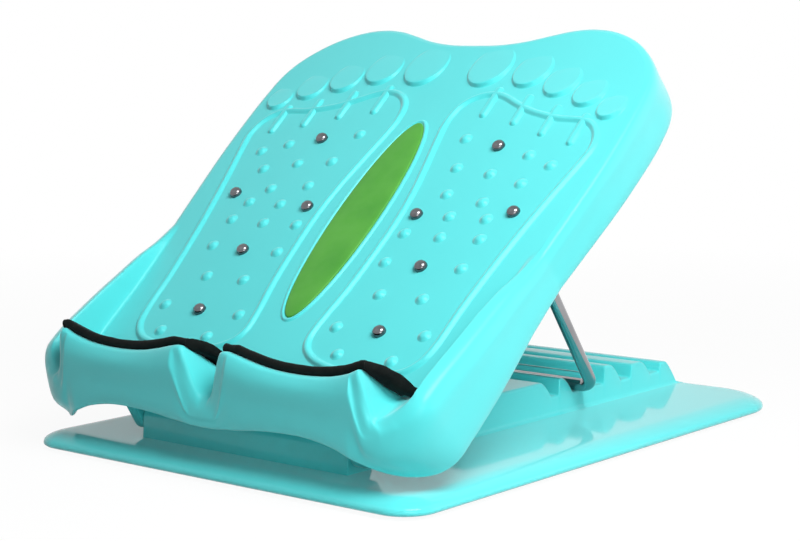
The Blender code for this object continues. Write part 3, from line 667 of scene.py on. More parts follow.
@dataclass(frozen=True)
class Finish:
    """One surface finish, as two near tones, a roughness range and a fine grain."""

    name: str
    slot: Slot
    deep: Point  # linear colour of the deeper tone
    pale: Point  # linear colour of the paler tone
    patch: float  # size of the tone's patches
    rough: Pair
    grain: Grain
    grain_size: float
    grain_depth: float
    metallic: float = 0.0
    sheen: float = 0.0
    specular: float = 0.5

    TONE_SPAN: ClassVar[Pair] = (0.35, 0.65)  # of the noise, from the deeper tone to the paler
    WEAR_SPAN: ClassVar[Pair] = (0.3, 0.7)  # of the noise, over the roughness range
    DRAWN_STRETCH: ClassVar[Point] = (0.06, 1.0, 1.0)

    def material(self) -> bpy.types.Material:
        """Makes the finish's material at its first use.

        Returns:
            The material.
        """
        made = bpy.data.materials.get(self.name)
        if made:
            return made
        made = bpy.data.materials.new(self.name)
        made.use_nodes = True
        sheet = NodeSheet(made.node_tree)
        spot = sheet.add("ShaderNodeTexCoord").outputs["Object"]
        ramp = sheet.add("ShaderNodeValToRGB", Fac=self.speckle(sheet, spot, self.patch, 3.0))
        for stop, place, tone in zip(ramp.color_ramp.elements, self.TONE_SPAN, (self.deep, self.pale)):
            stop.position, stop.color = place, (*tone, 1)
        wear = sheet.add("ShaderNodeMapRange", Value=self.speckle(sheet, spot, self.patch / 5, 4.0),
                         From_Min=self.WEAR_SPAN[0], From_Max=self.WEAR_SPAN[1],
                         To_Min=self.rough[0], To_Max=self.rough[1])
        bump = sheet.add("ShaderNodeBump", Strength=0.5, Distance=self.grain_depth * MM,
                         Height=self.grain_height(sheet, spot))
        sheet.fill(made.node_tree.nodes["Principled BSDF"], Base_Color=ramp.outputs["Color"],
                   Metallic=self.metallic, Roughness=wear.outputs["Result"], Normal=bump.outputs["Normal"],
                   Sheen_Weight=self.sheen, Specular_IOR_Level=self.specular)
        return made

    def speckle(self, sheet: NodeSheet, spot: bpy.types.NodeSocket, size: float,
                detail: float) -> bpy.types.NodeSocket:
        """Adds a noise whose patches are about a size across, and returns its value."""
        patches = sheet.add("ShaderNodeTexNoise", Vector=spot, Scale=1 / (size * MM), Detail=detail)
        return patches.outputs["Fac"]

    def grain_height(self, sheet: NodeSheet, spot: bpy.types.NodeSocket) -> bpy.types.NodeSocket:
        """Adds the texture of the grain.

        Args:
            sheet: The material's nodes.
            spot: The coordinates that the texture reads.

        Returns:
            The grain's height.
        """
        if self.grain is Grain.CELLS:
            cells = sheet.add("ShaderNodeTexVoronoi", Vector=spot, Scale=1 / (self.grain_size * MM))
            return cells.outputs["Distance"]
        if self.grain is Grain.DRAWN:
            spot = sheet.add("ShaderNodeMapping", Vector=spot, Scale=self.DRAWN_STRETCH).outputs["Vector"]
        return self.speckle(sheet, spot, self.grain_size, 2.0)


SATIN_AQUA = Finish("satin aqua plastic", Slot.AQUA, (0.084, 0.690, 0.702),
                    (0.090, 0.712, 0.722), 160.0, (0.28, 0.34), Grain.MOULDED, 0.5, 0.004,
                    sheen=0.35, specular=0.2)
GLOSS_AQUA = Finish("gloss aqua plastic", Slot.AQUA, (0.092, 0.725, 0.737),
                    (0.098, 0.745, 0.755), 160.0, (0.06, 0.09), Grain.MOULDED, 25.0, 0.012,
                    sheen=0.35, specular=0.2)
GREEN_RUBBER = Finish("green inlay", Slot.GREEN, (0.062, 0.310, 0.034),
                      (0.088, 0.365, 0.046), 30.0, (0.42, 0.55), Grain.MOULDED, 0.8, 0.03, specular=0.3)
BLACK_FOAM = Finish("black pad foam", Slot.FOAM, (0.002, 0.004, 0.004),
                    (0.006, 0.008, 0.007), 6.0, (0.72, 0.9), Grain.CELLS, 0.9, 0.12, sheen=0.03, specular=0.1)
BRIGHT_STUD = Finish("polished stud steel", Slot.STUD, (0.13, 0.13, 0.14),
                     (0.17, 0.17, 0.18), 4.0, (0.07, 0.14), Grain.MOULDED, 0.5, 0.004, metallic=1.0)
BRIGHT_ROD = Finish("chromed rod", Slot.ROD, (0.30, 0.30, 0.31),
                    (0.36, 0.36, 0.37), 25.0, (0.08, 0.14), Grain.DRAWN, 0.4, 0.006, metallic=1.0)
ZINC_STEEL = Finish("zinc plated steel", Slot.STEEL, (0.17, 0.17, 0.18),
                    (0.24, 0.24, 0.23), 7.0, (0.28, 0.42), Grain.MOULDED, 0.6, 0.02, metallic=1.0)
FOOT_RUBBER = Finish("foot rubber", Slot.RUBBER, (0.018, 0.018, 0.019),
                     (0.030, 0.030, 0.030), 5.0, (0.75, 0.9), Grain.MOULDED, 0.5, 0.03, specular=0.3)


# Pieces


def add_piece(name: str, mesh: bpy.types.Mesh) -> bpy.types.Object:
    """Makes an object at the origin for a mesh that is already in place.

    Args:
        name: The object's name.
        mesh: Its mesh.

    Returns:
        The new object.
    """
    piece = bpy.data.objects.new(name, mesh)
    bpy.context.scene.collection.objects.link(piece)
    return piece


def face_out(mesh: bpy.types.Mesh, crease: float, weld: bool) -> None:
    """Turns a mesh's faces out and shades it smooth.

    Args:
        mesh: The mesh.
        crease: Edges sharper than this many degrees stay sharp.
        weld: Whether points at one place become one.
    """
    work = bmesh.new()
    work.from_mesh(mesh)
    if weld:
        bmesh.ops.remove_doubles(work, verts=work.verts[:], dist=1e-7)
    bmesh.ops.recalc_face_normals(work, faces=work.faces[:])
    work.to_mesh(mesh)
    work.free()
    mesh.shade_smooth()
    mesh.set_sharp_from_angle(angle=math.radians(crease))


def make_piece(name: str, shape: Shape, finish: Finish, place: Optional[Matrix] = None,
               crease: float = CREASE) -> bpy.types.Object:
    """Makes a smooth-shaded piece from a shape in millimetres.

    Args:
        name: The piece's name.
        shape: Its points and faces.
        finish: Its finish.
        place: Where it stands, in millimetres.
        crease: Edges sharper than this many degrees stay sharp.

    Returns:
        The new object.
    """
    points = placed(shape, place)[0] if place else shape[0]
    mesh = bpy.data.meshes.new(name)
    mesh.from_pydata([Vector(p) * MM for p in points], [], shape[1])
    face_out(mesh, crease, True)
    mesh.materials.append(finish.material())
    return add_piece(name, mesh)


def settle(piece: bpy.types.Object, body: Body, finish: Finish, *nodes: str) -> None:
    """Rides a piece on its body and the CAD nodes it stands for, and reports it.

    Args:
        piece: The finished piece.
        body: The body that carries it.
        finish: Not used.
        nodes: CAD nodes that it replaces.
    """
    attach(piece, body.value)
    if nodes:
        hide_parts(*nodes)
    triangles = sum(len(p.vertices) - 2 for p in piece.data.polygons)
    stands_for = ", ".join(nodes) or "detail"
    LOG.info("%s on %s: %d triangles, for %s", piece.name, body.value, triangles, stands_for)


def grow(name: str, tree: bpy.types.NodeTree, sizes: dict[str, float], finish: Finish,
         points: Sequence[Point], place: Matrix, edges: Sequence[Face] = (),
         crease: float = CREASE) -> bpy.types.Object:
    """Runs a tree on points or lines and keeps the result as a plain mesh.

    Args:
        name: The new piece's name.
        tree: The geometry node tree.
        sizes: Its inputs by name, in millimetres, or plain numbers for Fullness and Flatness.
        finish: The finish it sets.
        points: Places, in millimetres.
        place: Where the piece stands, in millimetres.
        edges: Lines between the points, for a tree that follows lines.
        crease: Edges sharper than this many degrees stay sharp.

    Returns:
        The new object.
    """
    mesh = bpy.data.meshes.new(name + " places")
    mesh.from_pydata([Vector(p) * MM for p in points], edges, [])
    piece = add_piece(name, mesh)
    step = piece.modifiers.new(tree.name, "NODES")
    step.node_group = tree
    names = {item.name: item.identifier for item in tree.interface.items_tree if item.in_out == "INPUT"}
    for key, value in sizes.items():
        step[names[key]] = float(value) if key in ("Fullness", "Flatness") else value * MM
    step[names["Finish"]] = finish.material()
    graph = bpy.context.evaluated_depsgraph_get()
    made = bpy.data.meshes.new_from_object(piece.evaluated_get(graph), depsgraph=graph)
    piece.modifiers.remove(step)
    piece.data = made
    bpy.data.meshes.remove(mesh)
    made.name = name
    metres = place.copy()
    metres.translation = place.translation * MM
    made.transform(metres)
    face_out(made, crease, False)
    return piece


def joined(name: str, pieces: Sequence[bpy.types.Object]) -> bpy.types.Object:
    """Joins pieces of one finish into one mesh.

    Args:
        name: Of the joined piece.
        pieces: The pieces, which are used up.

    Returns:
        The joined piece.
    """
    work = bmesh.new()
    for piece in pieces:
        work.from_mesh(piece.data)
    mesh = bpy.data.meshes.new(name)
    work.to_mesh(mesh)
    work.free()
    mesh.materials.append(pieces[0].data.materials[0])
    for piece in pieces:
        bpy.data.objects.remove(piece, do_unlink=True)
    return add_piece(name, mesh)


# Sub-assemblies


@dataclass
class FootBoard:
    """The moulded board: its plate, walls, wings, heel stops, raised foot pattern and underside."""

    tilt: float = 41.34
    hinge: Pair = (58.7, -25.0)
    hinge_place: Pair = (-157.0, 22.0)
    plate: float = 3.0
    wall_front: float = 24.0
    wall_toe: float = 33.0
    wall_change: Pair = (150.0, 300.0)  # where the wall grows deeper, up the slope
    edge_round: float = 4.5
    wing_round: float = 9.0
    round_change: Pair = (130.0, 186.0)  # where the wing's rounding becomes the edge's, up the slope
    wing_height: float = 22.2
    stop_height: float = 40.0
    stop_thick: float = 8.5
    stop_back: float = 78.0
    face_start: float = 31.15
    face_lean: float = 0.67
    corner_u: float = 104.0
    corner_blend: Pair = (22.0, 90.0)  # degrees in which the front's section becomes the side's
    edge_blend: float = 0.3  # share of the way to the waist in which the wall gets its own depth
    facet: float = 7.0  # how far a stop's end leans back along u, from its face to its crest
    draw_in: Pair = (0.998, 0.35)  # share of the width that is kept, and millimetres off the toe end
    bead: Point = (6.0, 1.8, 1.25)  # width, height and fullness
    nub: Point = (4.3, 2.0, 1.7)  # radius, height and fullness
    bar: Point = (2.9, 1.7, 2.4)  # the same of the bars
    sink: float = 1.0  # how far nubs and bars reach below the top face
    toe_height: float = 2.4
    ear_u: float = 79.04
    ear_width: float = 8.0
    ear_round: float = 8.0
    rod_hole: float = 3.3
    clamp_u: float = 100.04
    clamp_v: float = 240.0
    boss: Point = (9.6, 23.0, 9.0)
    rib_u: float = 116.04
    rib: Pair = (2.4, 8.6)
    rib_v: Pair = (88.0, 345.0)
    rib_round: float = 0.6
    rib_deeper: float = 1.4  # how much lower the long ribs are than the cross ribs

    CROSS_RIBS: ClassVar[tuple[float, ...]] = (110, 160, 290, 330)
    # The right half's outline from the waist round to the middle of the toe end, as (u, v)
    OUTLINE: ClassVar[Table] = (
        (143.2, 186), (145.2, 213), (147.6, 250), (148, 285), (147, 308), (145, 324.5), (140, 337.8),
        (130.5, 350.5), (116.8, 362.1), (99.5, 370.2), (82.2, 373), (66.7, 371.4), (52, 366.9), (36, 361.7),
        (18, 358.6), (0, 358.1),
    )
    # The side's u below the waist, and the wing's height as a share, both by v
    SIDE: ClassVar[Table] = ((55, 145.4), (90, 146.2), (120, 146), (150, 144.6), (186, 143.2))
    WING: ClassVar[Table] = (
        (56, 0.97), (66, 1.0), (80, 0.975), (100, 0.835), (125, 0.635), (150, 0.4), (168, 0.16), (186, 0.0),
    )
    # The heel stop's height across the front, as a share, by u
    STOP: ClassVar[Table] = (
        (0, 0.42), (3.5, 0.435), (7, 0.56), (11, 0.8), (14.5, 0.97), (17.5, 1.0), (23, 0.985), (36, 0.92),
        (50, 0.87), (69, 0.85), (88, 0.875), (98, 0.915), (104, 0.95),
    )
    # Over the outer ear, its end face and the groove behind it, by angle round the front corner
    CORNER_STOP: ClassVar[Table] = (
        (0, 0.95), (8, 0.985), (15, 1.0), (18.5, 0.9), (22, 0.7), (25.5, 0.54), (29, 0.47), (35, 0.45),
        (44, 0.465), (60, 0.51), (75, 0.54), (90, 0.555),
    )
    # The lower edge of the front face by u, and then by angle round the corner
    FRONT_EDGE: ClassVar[Table] = ((0, 6.1), (20, 6.8), (45, 9.0), (72, 9.4), (92, 6.8), (104, 3.2))
    CORNER_EDGE: ClassVar[Table] = (
        (0, 3.2), (8, -0.4), (22.5, -8.0), (37.5, -14.6), (55, -20.4), (72, -23.0), (90, -23.4),
    )
    # Where each line of the section leaves the corner, from the plate's underside out and over to the top
    TURN_V: ClassVar[tuple[float, ...]] = (80, 75, 71, 70, 70, 69, 68, 68, 68, 70, 74, 80, 88, 94, 97)
    # Lines of the section, from the face's middle over the crest, that keep their own place round the corner
    OWN_PLACE: ClassVar[range] = range(5, 11)
    # The right foot's outline, and the places of its nubs, as (u, v)
    FOOT: ClassVar[Table] = (
        (24, 112), (25, 126), (28, 146), (30.2, 175), (30.8, 203), (29, 226), (25, 250), (21, 271),
        (19.2, 285), (21, 297), (26.5, 305), (35, 309.6), (43, 310.3), (51, 308), (61, 303), (73, 297.5),
        (85, 294), (98, 291.4), (112, 290.8), (119.5, 289), (126, 284), (130.6, 276), (132, 267),
        (130.4, 257), (125, 231), (119.5, 202), (115, 172), (111.7, 142), (110, 115), (107, 104), (99.5, 96),
        (85, 92), (67, 91), (49, 92.5), (34, 97.5), (26.5, 104),
    )
    NUBS: ClassVar[Table] = (
        (41.3, 271.8), (92.8, 260.5), (111.6, 253.2), (48.4, 247.3), (74.4, 244), (99.2, 237.8),
        (53.5, 225.8), (81.5, 221.3), (65.2, 208.9), (91.1, 208.9), (41.7, 193.3), (68, 192.5), (95.2, 193.5),
        (41.6, 170.5), (95.2, 171), (52.2, 146.7), (82.4, 146.7), (37.4, 120.5), (98.9, 121.7), (50, 102),
        (88, 102),
    )
    # Each toe's middle and half sizes, and each bar's place and ends
    TOES: ClassVar[tuple[tuple[float, float, float, float], ...]] = (
        (25, 335, 15, 18.5), (57.8, 332, 12.9, 15.5), (83.9, 323, 11.8, 14.2), (107.8, 314, 10.8, 12.7),
        (128.4, 302.5, 9.2, 11.2),
    )
    BARS: ClassVar[tuple[Point, ...]] = (
        (42.5, 290, 316.5), (68, 284, 311), (92.3, 275.5, 303), (115.5, 269, 296.5),
    )

    def matrix(self) -> Matrix:
        """Returns the board's place in the frame, in millimetres."""
        return (Matrix.Translation((0, *self.hinge_place)) @ Matrix.Rotation(math.radians(self.tilt), 4, "X")
                @ Matrix.Translation((0, -self.hinge[0], -self.hinge[1])))

    def face_v(self, w: float) -> float:
        """Returns where the stops' leaning front face stands at a height."""
        return self.face_start + self.face_lean * w

    def wall_depth(self, v: float) -> float:
        """Returns the lower edge of the side wall at a place up the slope."""
        return -mix(self.wall_front, self.wall_toe, portion(v, *self.wall_change))

    def stop_top(self, u: float) -> float:
        """Reads the height of the heel stop, the outer ear's end included.

        Args:
            u: The place across the front.

        Returns:
            The height above the plate's top face.
        """
        if u <= self.corner_u:
            return self.stop_height * table_value(self.STOP, u)
        reach = self.SIDE[0][1] - self.wing_round - self.corner_u
        angle = math.degrees(math.asin(min(1.0, (u - self.corner_u) / reach)))
        return self.stop_height * table_value(self.CORNER_STOP, angle)

    def half_width(self, v: float) -> float:
        """Returns half the board's width inside its walls, at a place up the slope."""
        rising = tuple((out_v, out_u) for out_u, out_v in self.OUTLINE[:9])
        return table_value(self.SIDE[:-1] + rising, v) - self.plate

    def front_section(self, edge: float, top: float, u: float) -> list[Pair]:
        """Draws the section through a heel stop.

        Args:
            edge: Height of the front face's lower edge.
            top: Height of the stop.
            u: The place across the front.

        Returns:
            (v, w) points from the plate's underside round the face and over the stop to the flat top.
        """
        low = min(self.stop_top(max(0.0, u - self.facet)), self.stop_top(u + self.facet), top)
        high, back, tip = low - edge, self.stop_back, self.face_v(top)
        rear, foot = tip + self.stop_thick, self.face_v(edge)
        lip, crest = (self.face_v(low - 2.2) + 0.9, low - 2.2), (tip + 0.66 * self.stop_thick, top)
        # Over a leaning end the section runs straight from the face to the crest
        flat = ease((top - low) / 6)
        over = (mix(tip + 3.2, mix(lip[0], crest[0], 0.55), flat),
                mix(top - 0.4, mix(lip[1], crest[1], 0.6), flat))
        return [
            (foot + 18, -self.plate), (foot + 12, mix(edge, -self.plate, 0.75)), (foot + 5, edge - 1.2),
            (foot + 2.2, edge - 0.6), (self.face_v(edge + 0.1 * high) + 0.2, edge + 0.1 * high),
            (self.face_v(edge + 0.5 * high) + 0.4, edge + 0.5 * high), (self.face_v(low - 5.5), low - 5.5),
            lip, over, crest,
            (rear, 0.94 * top), (mix(rear, back, 0.6), 0.45 * top), (mix(rear, back, 0.93), 0.06 * top),
            (back + 2, 0), (back + 4, 0),
        ]

    def side_section(self, depth: float, top: float, turn: float) -> list[Pair]:
        """Draws the section through the side wall and its wing, or through the toe end.

        Args:
            depth: Height of the wall's lower edge.
            top: Height of the wing.
            turn: Radius of its upper edge.

        Returns:
            (inset, w) points in the order of front_section.
        """
        crest = 0.4 + turn
        return [
            (self.plate + 3.5, -self.plate), (self.plate + 0.8, mix(depth, -self.plate, 0.75)),
            (self.plate, depth), (0.6, depth), (0, depth + 1.2), (0.2, mix(depth, top, 0.5)),
            (0.4, top - turn), (0.4 + 0.29 * turn, top - 0.29 * turn), (crest, top),
            (crest + 0.6, 0.985 * top), (crest + 1.4, 0.9 * top), (crest + 2.8, 0.45 * top),
            (crest + 4.2, 0.07 * top), (crest + 6, 0), (crest + 8, 0),
        ]

    def outline_rings(self, step: float) -> list[list[Vector]]:
        """Sets sections along the outline, from the waist to the middle of the toe end.

        Args:
            step: How far apart they stand.

        Returns:
            The points of each section.
        """
        along = [0.0]
        for a, b in zip(self.OUTLINE, self.OUTLINE[1:]):
            along.append(along[-1] + math.dist(a, b))
        us = tuple((s, p[0]) for s, p in zip(along, self.OUTLINE))
        vs = tuple((s, p[1]) for s, p in zip(along, self.OUTLINE))
        rings = []
        for s in steps(0, along[-1], step)[1:]:
            du = table_value(us, s + 0.5) - table_value(us, s - 0.5)
            dv = table_value(vs, s + 0.5) - table_value(vs, s - 0.5)
            last = s >= along[-1]
            inward = Vector((0, -1)) if last else Vector((-dv, du)).normalized()
            u, v = table_value(us, s), table_value(vs, s)
            rings.append([Vector((0 if last else u + inward.x * d, v + inward.y * d, w))
                          for d, w in self.side_section(self.wall_depth(v), 0.0, self.edge_round)])
        return rings

    def half_rings(self) -> list[list[Vector]]:
        """Sets the sections of the right half, from the front's middle round to the toe end's middle.

        Returns:
            The points of each section.
        """
        rings = []
        # Sections stand closer together at the inner ear, and round the corner at the outer ear's end
        for u in steps(0, 30, 1) + steps(30, self.corner_u, 2.5)[1:]:
            section = self.front_section(table_value(self.FRONT_EDGE, u), self.stop_top(u), u)
            rings.append([Vector((u, v, w)) for v, w in section])
        start = [p.y for p in rings[-1]]
        for angle in steps(0, 40, 1.25)[1:] + steps(40, 90, 2.5)[1:]:
            a = math.radians(angle)
            top = self.stop_height * table_value(self.CORNER_STOP, angle)
            edge, share = table_value(self.CORNER_EDGE, angle), ease(portion(angle, *self.corner_blend))
            reach = self.SIDE[0][1] - self.wing_round - self.corner_u
            front = self.front_section(edge, top, self.corner_u + reach * math.sin(a))
            ring = []
            for k, (f, s) in enumerate(zip(front, self.side_section(edge, top, self.wing_round))):
                turn, first = self.TURN_V[k], f[0] if k in self.OWN_PLACE else start[k]
                side_u = table_value(self.SIDE, turn) - s[0]
                ring.append(Vector((self.corner_u + (side_u - self.corner_u) * math.sin(a),
                                    turn - (turn - first) * math.cos(a), mix(f[1], s[1], share))))
            rings.append(ring)
        for share in steps(0, 1, 0.02)[1:]:
            ring = []
            for k, turn in enumerate(self.TURN_V):
                v = mix(turn, self.SIDE[-1][0], share)
                top = self.wing_height * table_value(self.WING, v)
                turn_round = mix(self.wing_round, self.edge_round, portion(v, *self.round_change))
                foot = mix(self.CORNER_EDGE[-1][1], self.wall_depth(v), portion(share, 0, self.edge_blend))
                inset, w = self.side_section(foot, top, turn_round)[k]
                ring.append(Vector((table_value(self.SIDE, v) - inset, v, w)))
            rings.append(ring)
        return rings + self.outline_rings(step=2.5)

    def trimmed(self, p: Vector) -> Vector:
        """Draws a point of the shell in a little, to stay inside the solid's box.

        Args:
            p: The point.

        Returns:
            The new point.
        """
        waist, end = self.SIDE[-1][0], max(v for _, v in self.OUTLINE)
        past = max(0.0, p.y - waist) / (end - waist)
        return Vector((self.draw_in[0] * p.x, p.y - self.draw_in[1] * past, p.z))

    def shell(self) -> Shape:
        """Makes the whole shell.

        Returns:
            The shell, closed over the top and under the plate.
        """
        right = [[self.trimmed(p) for p in spline(ring, per=4)] for ring in self.half_rings()]
        left = [[Vector((-p.x, p.y, p.z)) for p in ring] for ring in right[-2:0:-1]]
        rings = right + left
        points, faces = loft(rings, round_ring=False, round_path=True)
        count = len(rings[0])
        for k in (0, count - 1):
            faces.append(tuple(i * count + k for i in range(len(rings))))
        return points, faces

    def toe(self, u: float, v: float, half_u: float, half_v: float) -> Shape:
        """Makes one toe: an oval pad that stands up at its lower end and runs out level at its upper end.

        Args:
            u: Its middle across the board.
            v: Its middle up the slope.
            half_u: Half its width.
            half_v: Half its length.

        Returns:
            The closed pad.
        """
        sides, brim, flare, deep = 56, 1.2, 0.7, 1.6
        # Each ring's share of the toe's size, what is added to it and how full it is; the last is the foot
        marks = [(0.45, 0.0, 1.0), (0.8, 0.0, 1.0)]
        marks += [(1.0, more, 0.5 + 0.5 * math.cos(math.pi * (more + brim) / (brim + flare)))
                  for more in steps(-brim, flare, 0.2)]
        rings = []
        for share, more, full in marks + [(1.0, flare, None)]:
            ring = []
            for a in around(sides):
                lean = 0.5 - share * (0.56 * math.sin(a) - 0.08 * math.cos(a))
                w = -deep if full is None else max(self.toe_height * lean * full - 0.03, 0.1 - deep)
                ring.append((u + (share * half_u + more) * math.cos(a),
                             v + (share * half_v + more) * math.sin(a), w))
            rings.append(ring)
        return loft(rings)

    def relief(self) -> bpy.types.Object:
        """Makes the raised foot pattern: outline beads, nubs, bars and toes.

        Returns:
            The pattern as one piece.
        """
        place, domes = self.matrix(), dome_tree()
        beads: list[Point] = []
        lines: list[Face] = []
        for side in Side:
            knots = [Vector((side.value * u, v, 0)) for u, v in self.FOOT]
            path = spline(knots[::side.value], per=6, closed=True)
            start = len(beads)
            beads += [tuple(p) for p in path]
            lines += [(start + i, start + (i + 1) % len(path)) for i in range(len(path))]
        sizes = dict(zip(("Width", "Height", "Fullness"), self.bead))
        parts = [grow("beads", strip_tree(), sizes, SATIN_AQUA, beads, place, lines, LOW_CREASE)]
        nubs = [(side.value * u, v, 0.0) for side in Side for u, v in self.NUBS]
        bars = [(side.value * u, (low + high) / 2, 0.0) for side in Side for u, low, high in self.BARS]
        length = sum(high - low for _, low, high in self.BARS) / len(self.BARS) - 2 * self.bar[0]
        for name, form, stretch, places in (("nubs", self.nub, 0.0, nubs), ("bars", self.bar, length, bars)):
            sizes = dict(zip(("Radius", "Height", "Fullness"), form), Stretch=stretch, Sink=self.sink)
            parts.append(grow(name, domes, sizes, SATIN_AQUA, places, place, crease=LOW_CREASE))
        toes = both_sides(together(*[self.toe(*toe) for toe in self.TOES]))
        parts.append(make_piece("toes", toes, SATIN_AQUA, place, LOW_CREASE))
        return joined("foot_relief", parts)

    def underside(self) -> Shape:
        """Makes what stands below the plate.

        Returns:
            The hinge ears, clamp bosses and ribs.
        """
        v, r, root = self.hinge[0], self.ear_round, -self.plate / 2
        outline = arc(self.hinge, (r, r), 180, 360, count=18) + [(v + 15, root), (v - 4, root)]
        hole = circle(self.rod_hole, sides=28, middle=self.hinge)
        ear = pierced(outline, [hole], self.ear_u, self.ear_u + self.ear_width)
        half_u, half_v, deep = self.boss
        boss = block((self.clamp_u - half_u, self.clamp_v - half_v, -deep),
                     (self.clamp_u + half_u, self.clamp_v + half_v, root))
        thick, low_w = self.rib
        rib = block((self.rib_u, self.rib_v[0], -low_w - self.rib_deeper),
                    (self.rib_u + thick, self.rib_v[1], root))
        cross = []
        for v in self.CROSS_RIBS:
            half = self.half_width(v)
            cross.append(softened(block((-half, v, -low_w), (half, v + thick, root)), self.rib_round))
        ear = softened(ear, width=0.5, segments=2)
        sides = both_sides(together(ear, softened(boss, width=1.0), softened(rib, self.rib_round)))
        return together(sides, *cross)

    def dress(self) -> None:
        """Builds the board's pieces and settles them."""
        shell = make_piece("board_shell", self.shell(), SATIN_AQUA, self.matrix())
        settle(shell, Body.BOARD, SATIN_AQUA, "foot_board")
        settle(self.relief(), Body.BOARD, SATIN_AQUA)
        ribs = make_piece("board_ribs", self.underside(), SATIN_AQUA, self.matrix())
        settle(ribs, Body.BOARD, SATIN_AQUA)


@dataclass
class HeelPads:
    """The two foam pads moulded to the stops' inner faces."""

    board: FootBoard
    thick: float = 5.0
    proud: float = 1.8
    first_u: float = 8.0
    inner_ear: float = 14.0
    outer_ear: float = 113.5
    last_u: float = 124.0
    end_round: float = 2.5
    end_share: float = 0.55  # how small a pad's outline gets at its ends
    fill: float = 0.8
    skin: Point = (160.0, 0.3, 0.18)  # the skin's unevenness: noise per metre, its level and its depth

    # Height of the crown past the ears, as a share of the stop's height
    ENDS: ClassVar[Table] = (
        (8, 0.64), (11, 0.82), (14, 0.95), (113.5, 1.0), (116, 0.93), (118.5, 0.83), (121, 0.72), (124, 0.58),
    )
    # The most that the crown rises near the inner ear, as the same share
    DIP: ClassVar[Table] = ((14, 0.95), (18, 0.94), (22, 0.96), (27, 1.0))

    def section(self, u: float) -> list[Vector]:
        """Draws the section through a pad.

        Args:
            u: The place across the front.

        Returns:
            (v, w) points from the foot up the stop's back, over the crown and down the pad's own face.
        """
        board = self.board
        top = board.stop_top(u)
        back, rear, crown = board.stop_back, board.face_v(top) + board.stop_thick, top
        past = max((self.inner_ear - u) / (self.inner_ear - self.first_u),
                   (u - self.outer_ear) / (self.last_u - self.outer_ear))
        if past > 0:
            ear = board.stop_top(self.inner_ear if u < self.inner_ear else self.outer_ear)
            rear = mix(board.face_v(ear) + board.stop_thick, back - 5, past)
            crown = max(top, board.stop_height * table_value(self.ENDS, u))
        crown = min(crown, board.stop_height * table_value(self.DIP, u))
        # The pad keeps further off where the stop's top is steep
        slope = abs(board.stop_top(u + 1) - board.stop_top(u - 1)) / 2
        off = GAP + min(0.6 * slope, 0.9)
        crown, foot, rear = crown + self.proud, back + off, rear + off
        bulge = 0.5 + 0.9 * math.sin(math.pi * (u - self.first_u) / (self.last_u - self.first_u))
        face = [(foot + 2.3, 2.2), (mix(rear, foot, 0.93) + 0.2, 0.07 * top + 1.6),
                (mix(rear, foot, 0.6), 0.45 * top), (rear, 0.92 * min(top, crown))]
        over = [(rear, crown - 2.0), (rear + 1.1, crown - 0.4), (rear + 0.5 * self.thick, crown),
                (rear + self.thick - 1.2, crown - 0.7), (rear + self.thick, crown - 2.8)]
        far = [(mix(rear, back, 0.55) + self.thick + bulge, 0.5 * top),
               (back + self.thick + bulge, 0.2 * top + 2), (back + self.thick + 0.6, 2.8),
               (back + self.thick - 0.6, 1.2)]
        return [Vector(p) for p in face + over + far]

    def pad(self, side: Side) -> Shape:
        """Makes one pad with rounded ends.

        Args:
            side: Which half of the board it is on.

        Returns:
            The closed pad.
        """
        rings = []
        for u in steps(self.first_u, self.last_u, 1.0):
            outline = spline(self.section(u), per=4, closed=True)
            middle = sum(outline, Vector((0, 0))) / len(outline)
            near = portion(min(u - self.first_u, self.last_u - u), 0, self.end_round)
            share = mix(self.end_share, 1.0, math.sqrt(1 - (1 - near) ** 2))
            rings.append([(side.value * u, *(middle + (p - middle) * share)) for p in outline])
        return loft(rings)

    def dress(self) -> None:
        """Builds both pads with a slightly uneven foam skin and settles them."""
        scale, level, depth = self.skin
        for side in Side:
            name = "heel_pad_" + side.name.lower()
            piece = make_piece(name + "_foam", self.pad(side), BLACK_FOAM, self.board.matrix(), SOFT_CREASE)
            for vert in piece.data.vertices:
                vert.co += vert.normal * (noise.noise(vert.co * scale) - level) * depth * MM
            settle(piece, Body.BOARD, BLACK_FOAM, name)


@dataclass
class CentreInlay:
    """The long green oval in the middle of the board, in a low moulded rim."""

    board: FootBoard
    half_u: float = 16.4
    half_v: float = 80.0
    middle_v: float = 203.0
    deep: float = 1.2
    rim: Point = (3.4, 1.1, 1.3)  # width, height and fullness
    rim_out: float = 0.55  # of the rim's width, from the inlay's edge to the rim's middle

    # How far each ring over the top draws in, and its height
    CROWN: ClassVar[Table] = (
        (0.0, 0.55), (0.12, 0.8), (0.4, 1.02), (0.9, 1.16), (2.2, 1.3), (5.0, 1.46), (9.0, 1.56), (13.0, 1.6),
    )

    def oval(self, shrink: float, height: float, sides: int = 120) -> list[Point]:
        """Returns one oval, smaller than the inlay all round by shrink."""
        half_u, half_v = self.half_u - shrink, self.half_v - shrink
        return [(half_u * math.cos(a), self.middle_v + half_v * math.sin(a), height) for a in around(sides)]

    def dress(self) -> None:
        """Builds the inlay and its rim and settles them."""
        rings = [self.oval(shrink, height) for shrink, height in ((0.0, -self.deep), *self.CROWN)]
        inlay = make_piece("green_oval", loft(rings), GREEN_RUBBER, self.board.matrix(), SOFT_CREASE)
        settle(inlay, Body.BOARD, GREEN_RUBBER, "centre_inlay")
        path = self.oval(-self.rim_out * self.rim[0], 0.0)
        lines = [(i, (i + 1) % len(path)) for i in range(len(path))]
        sizes = dict(zip(("Width", "Height", "Fullness"), self.rim))
        rim = grow("inlay_rim", strip_tree(), sizes, SATIN_AQUA, path, self.board.matrix(), lines, LOW_CREASE)
        settle(rim, Body.BOARD, SATIN_AQUA)


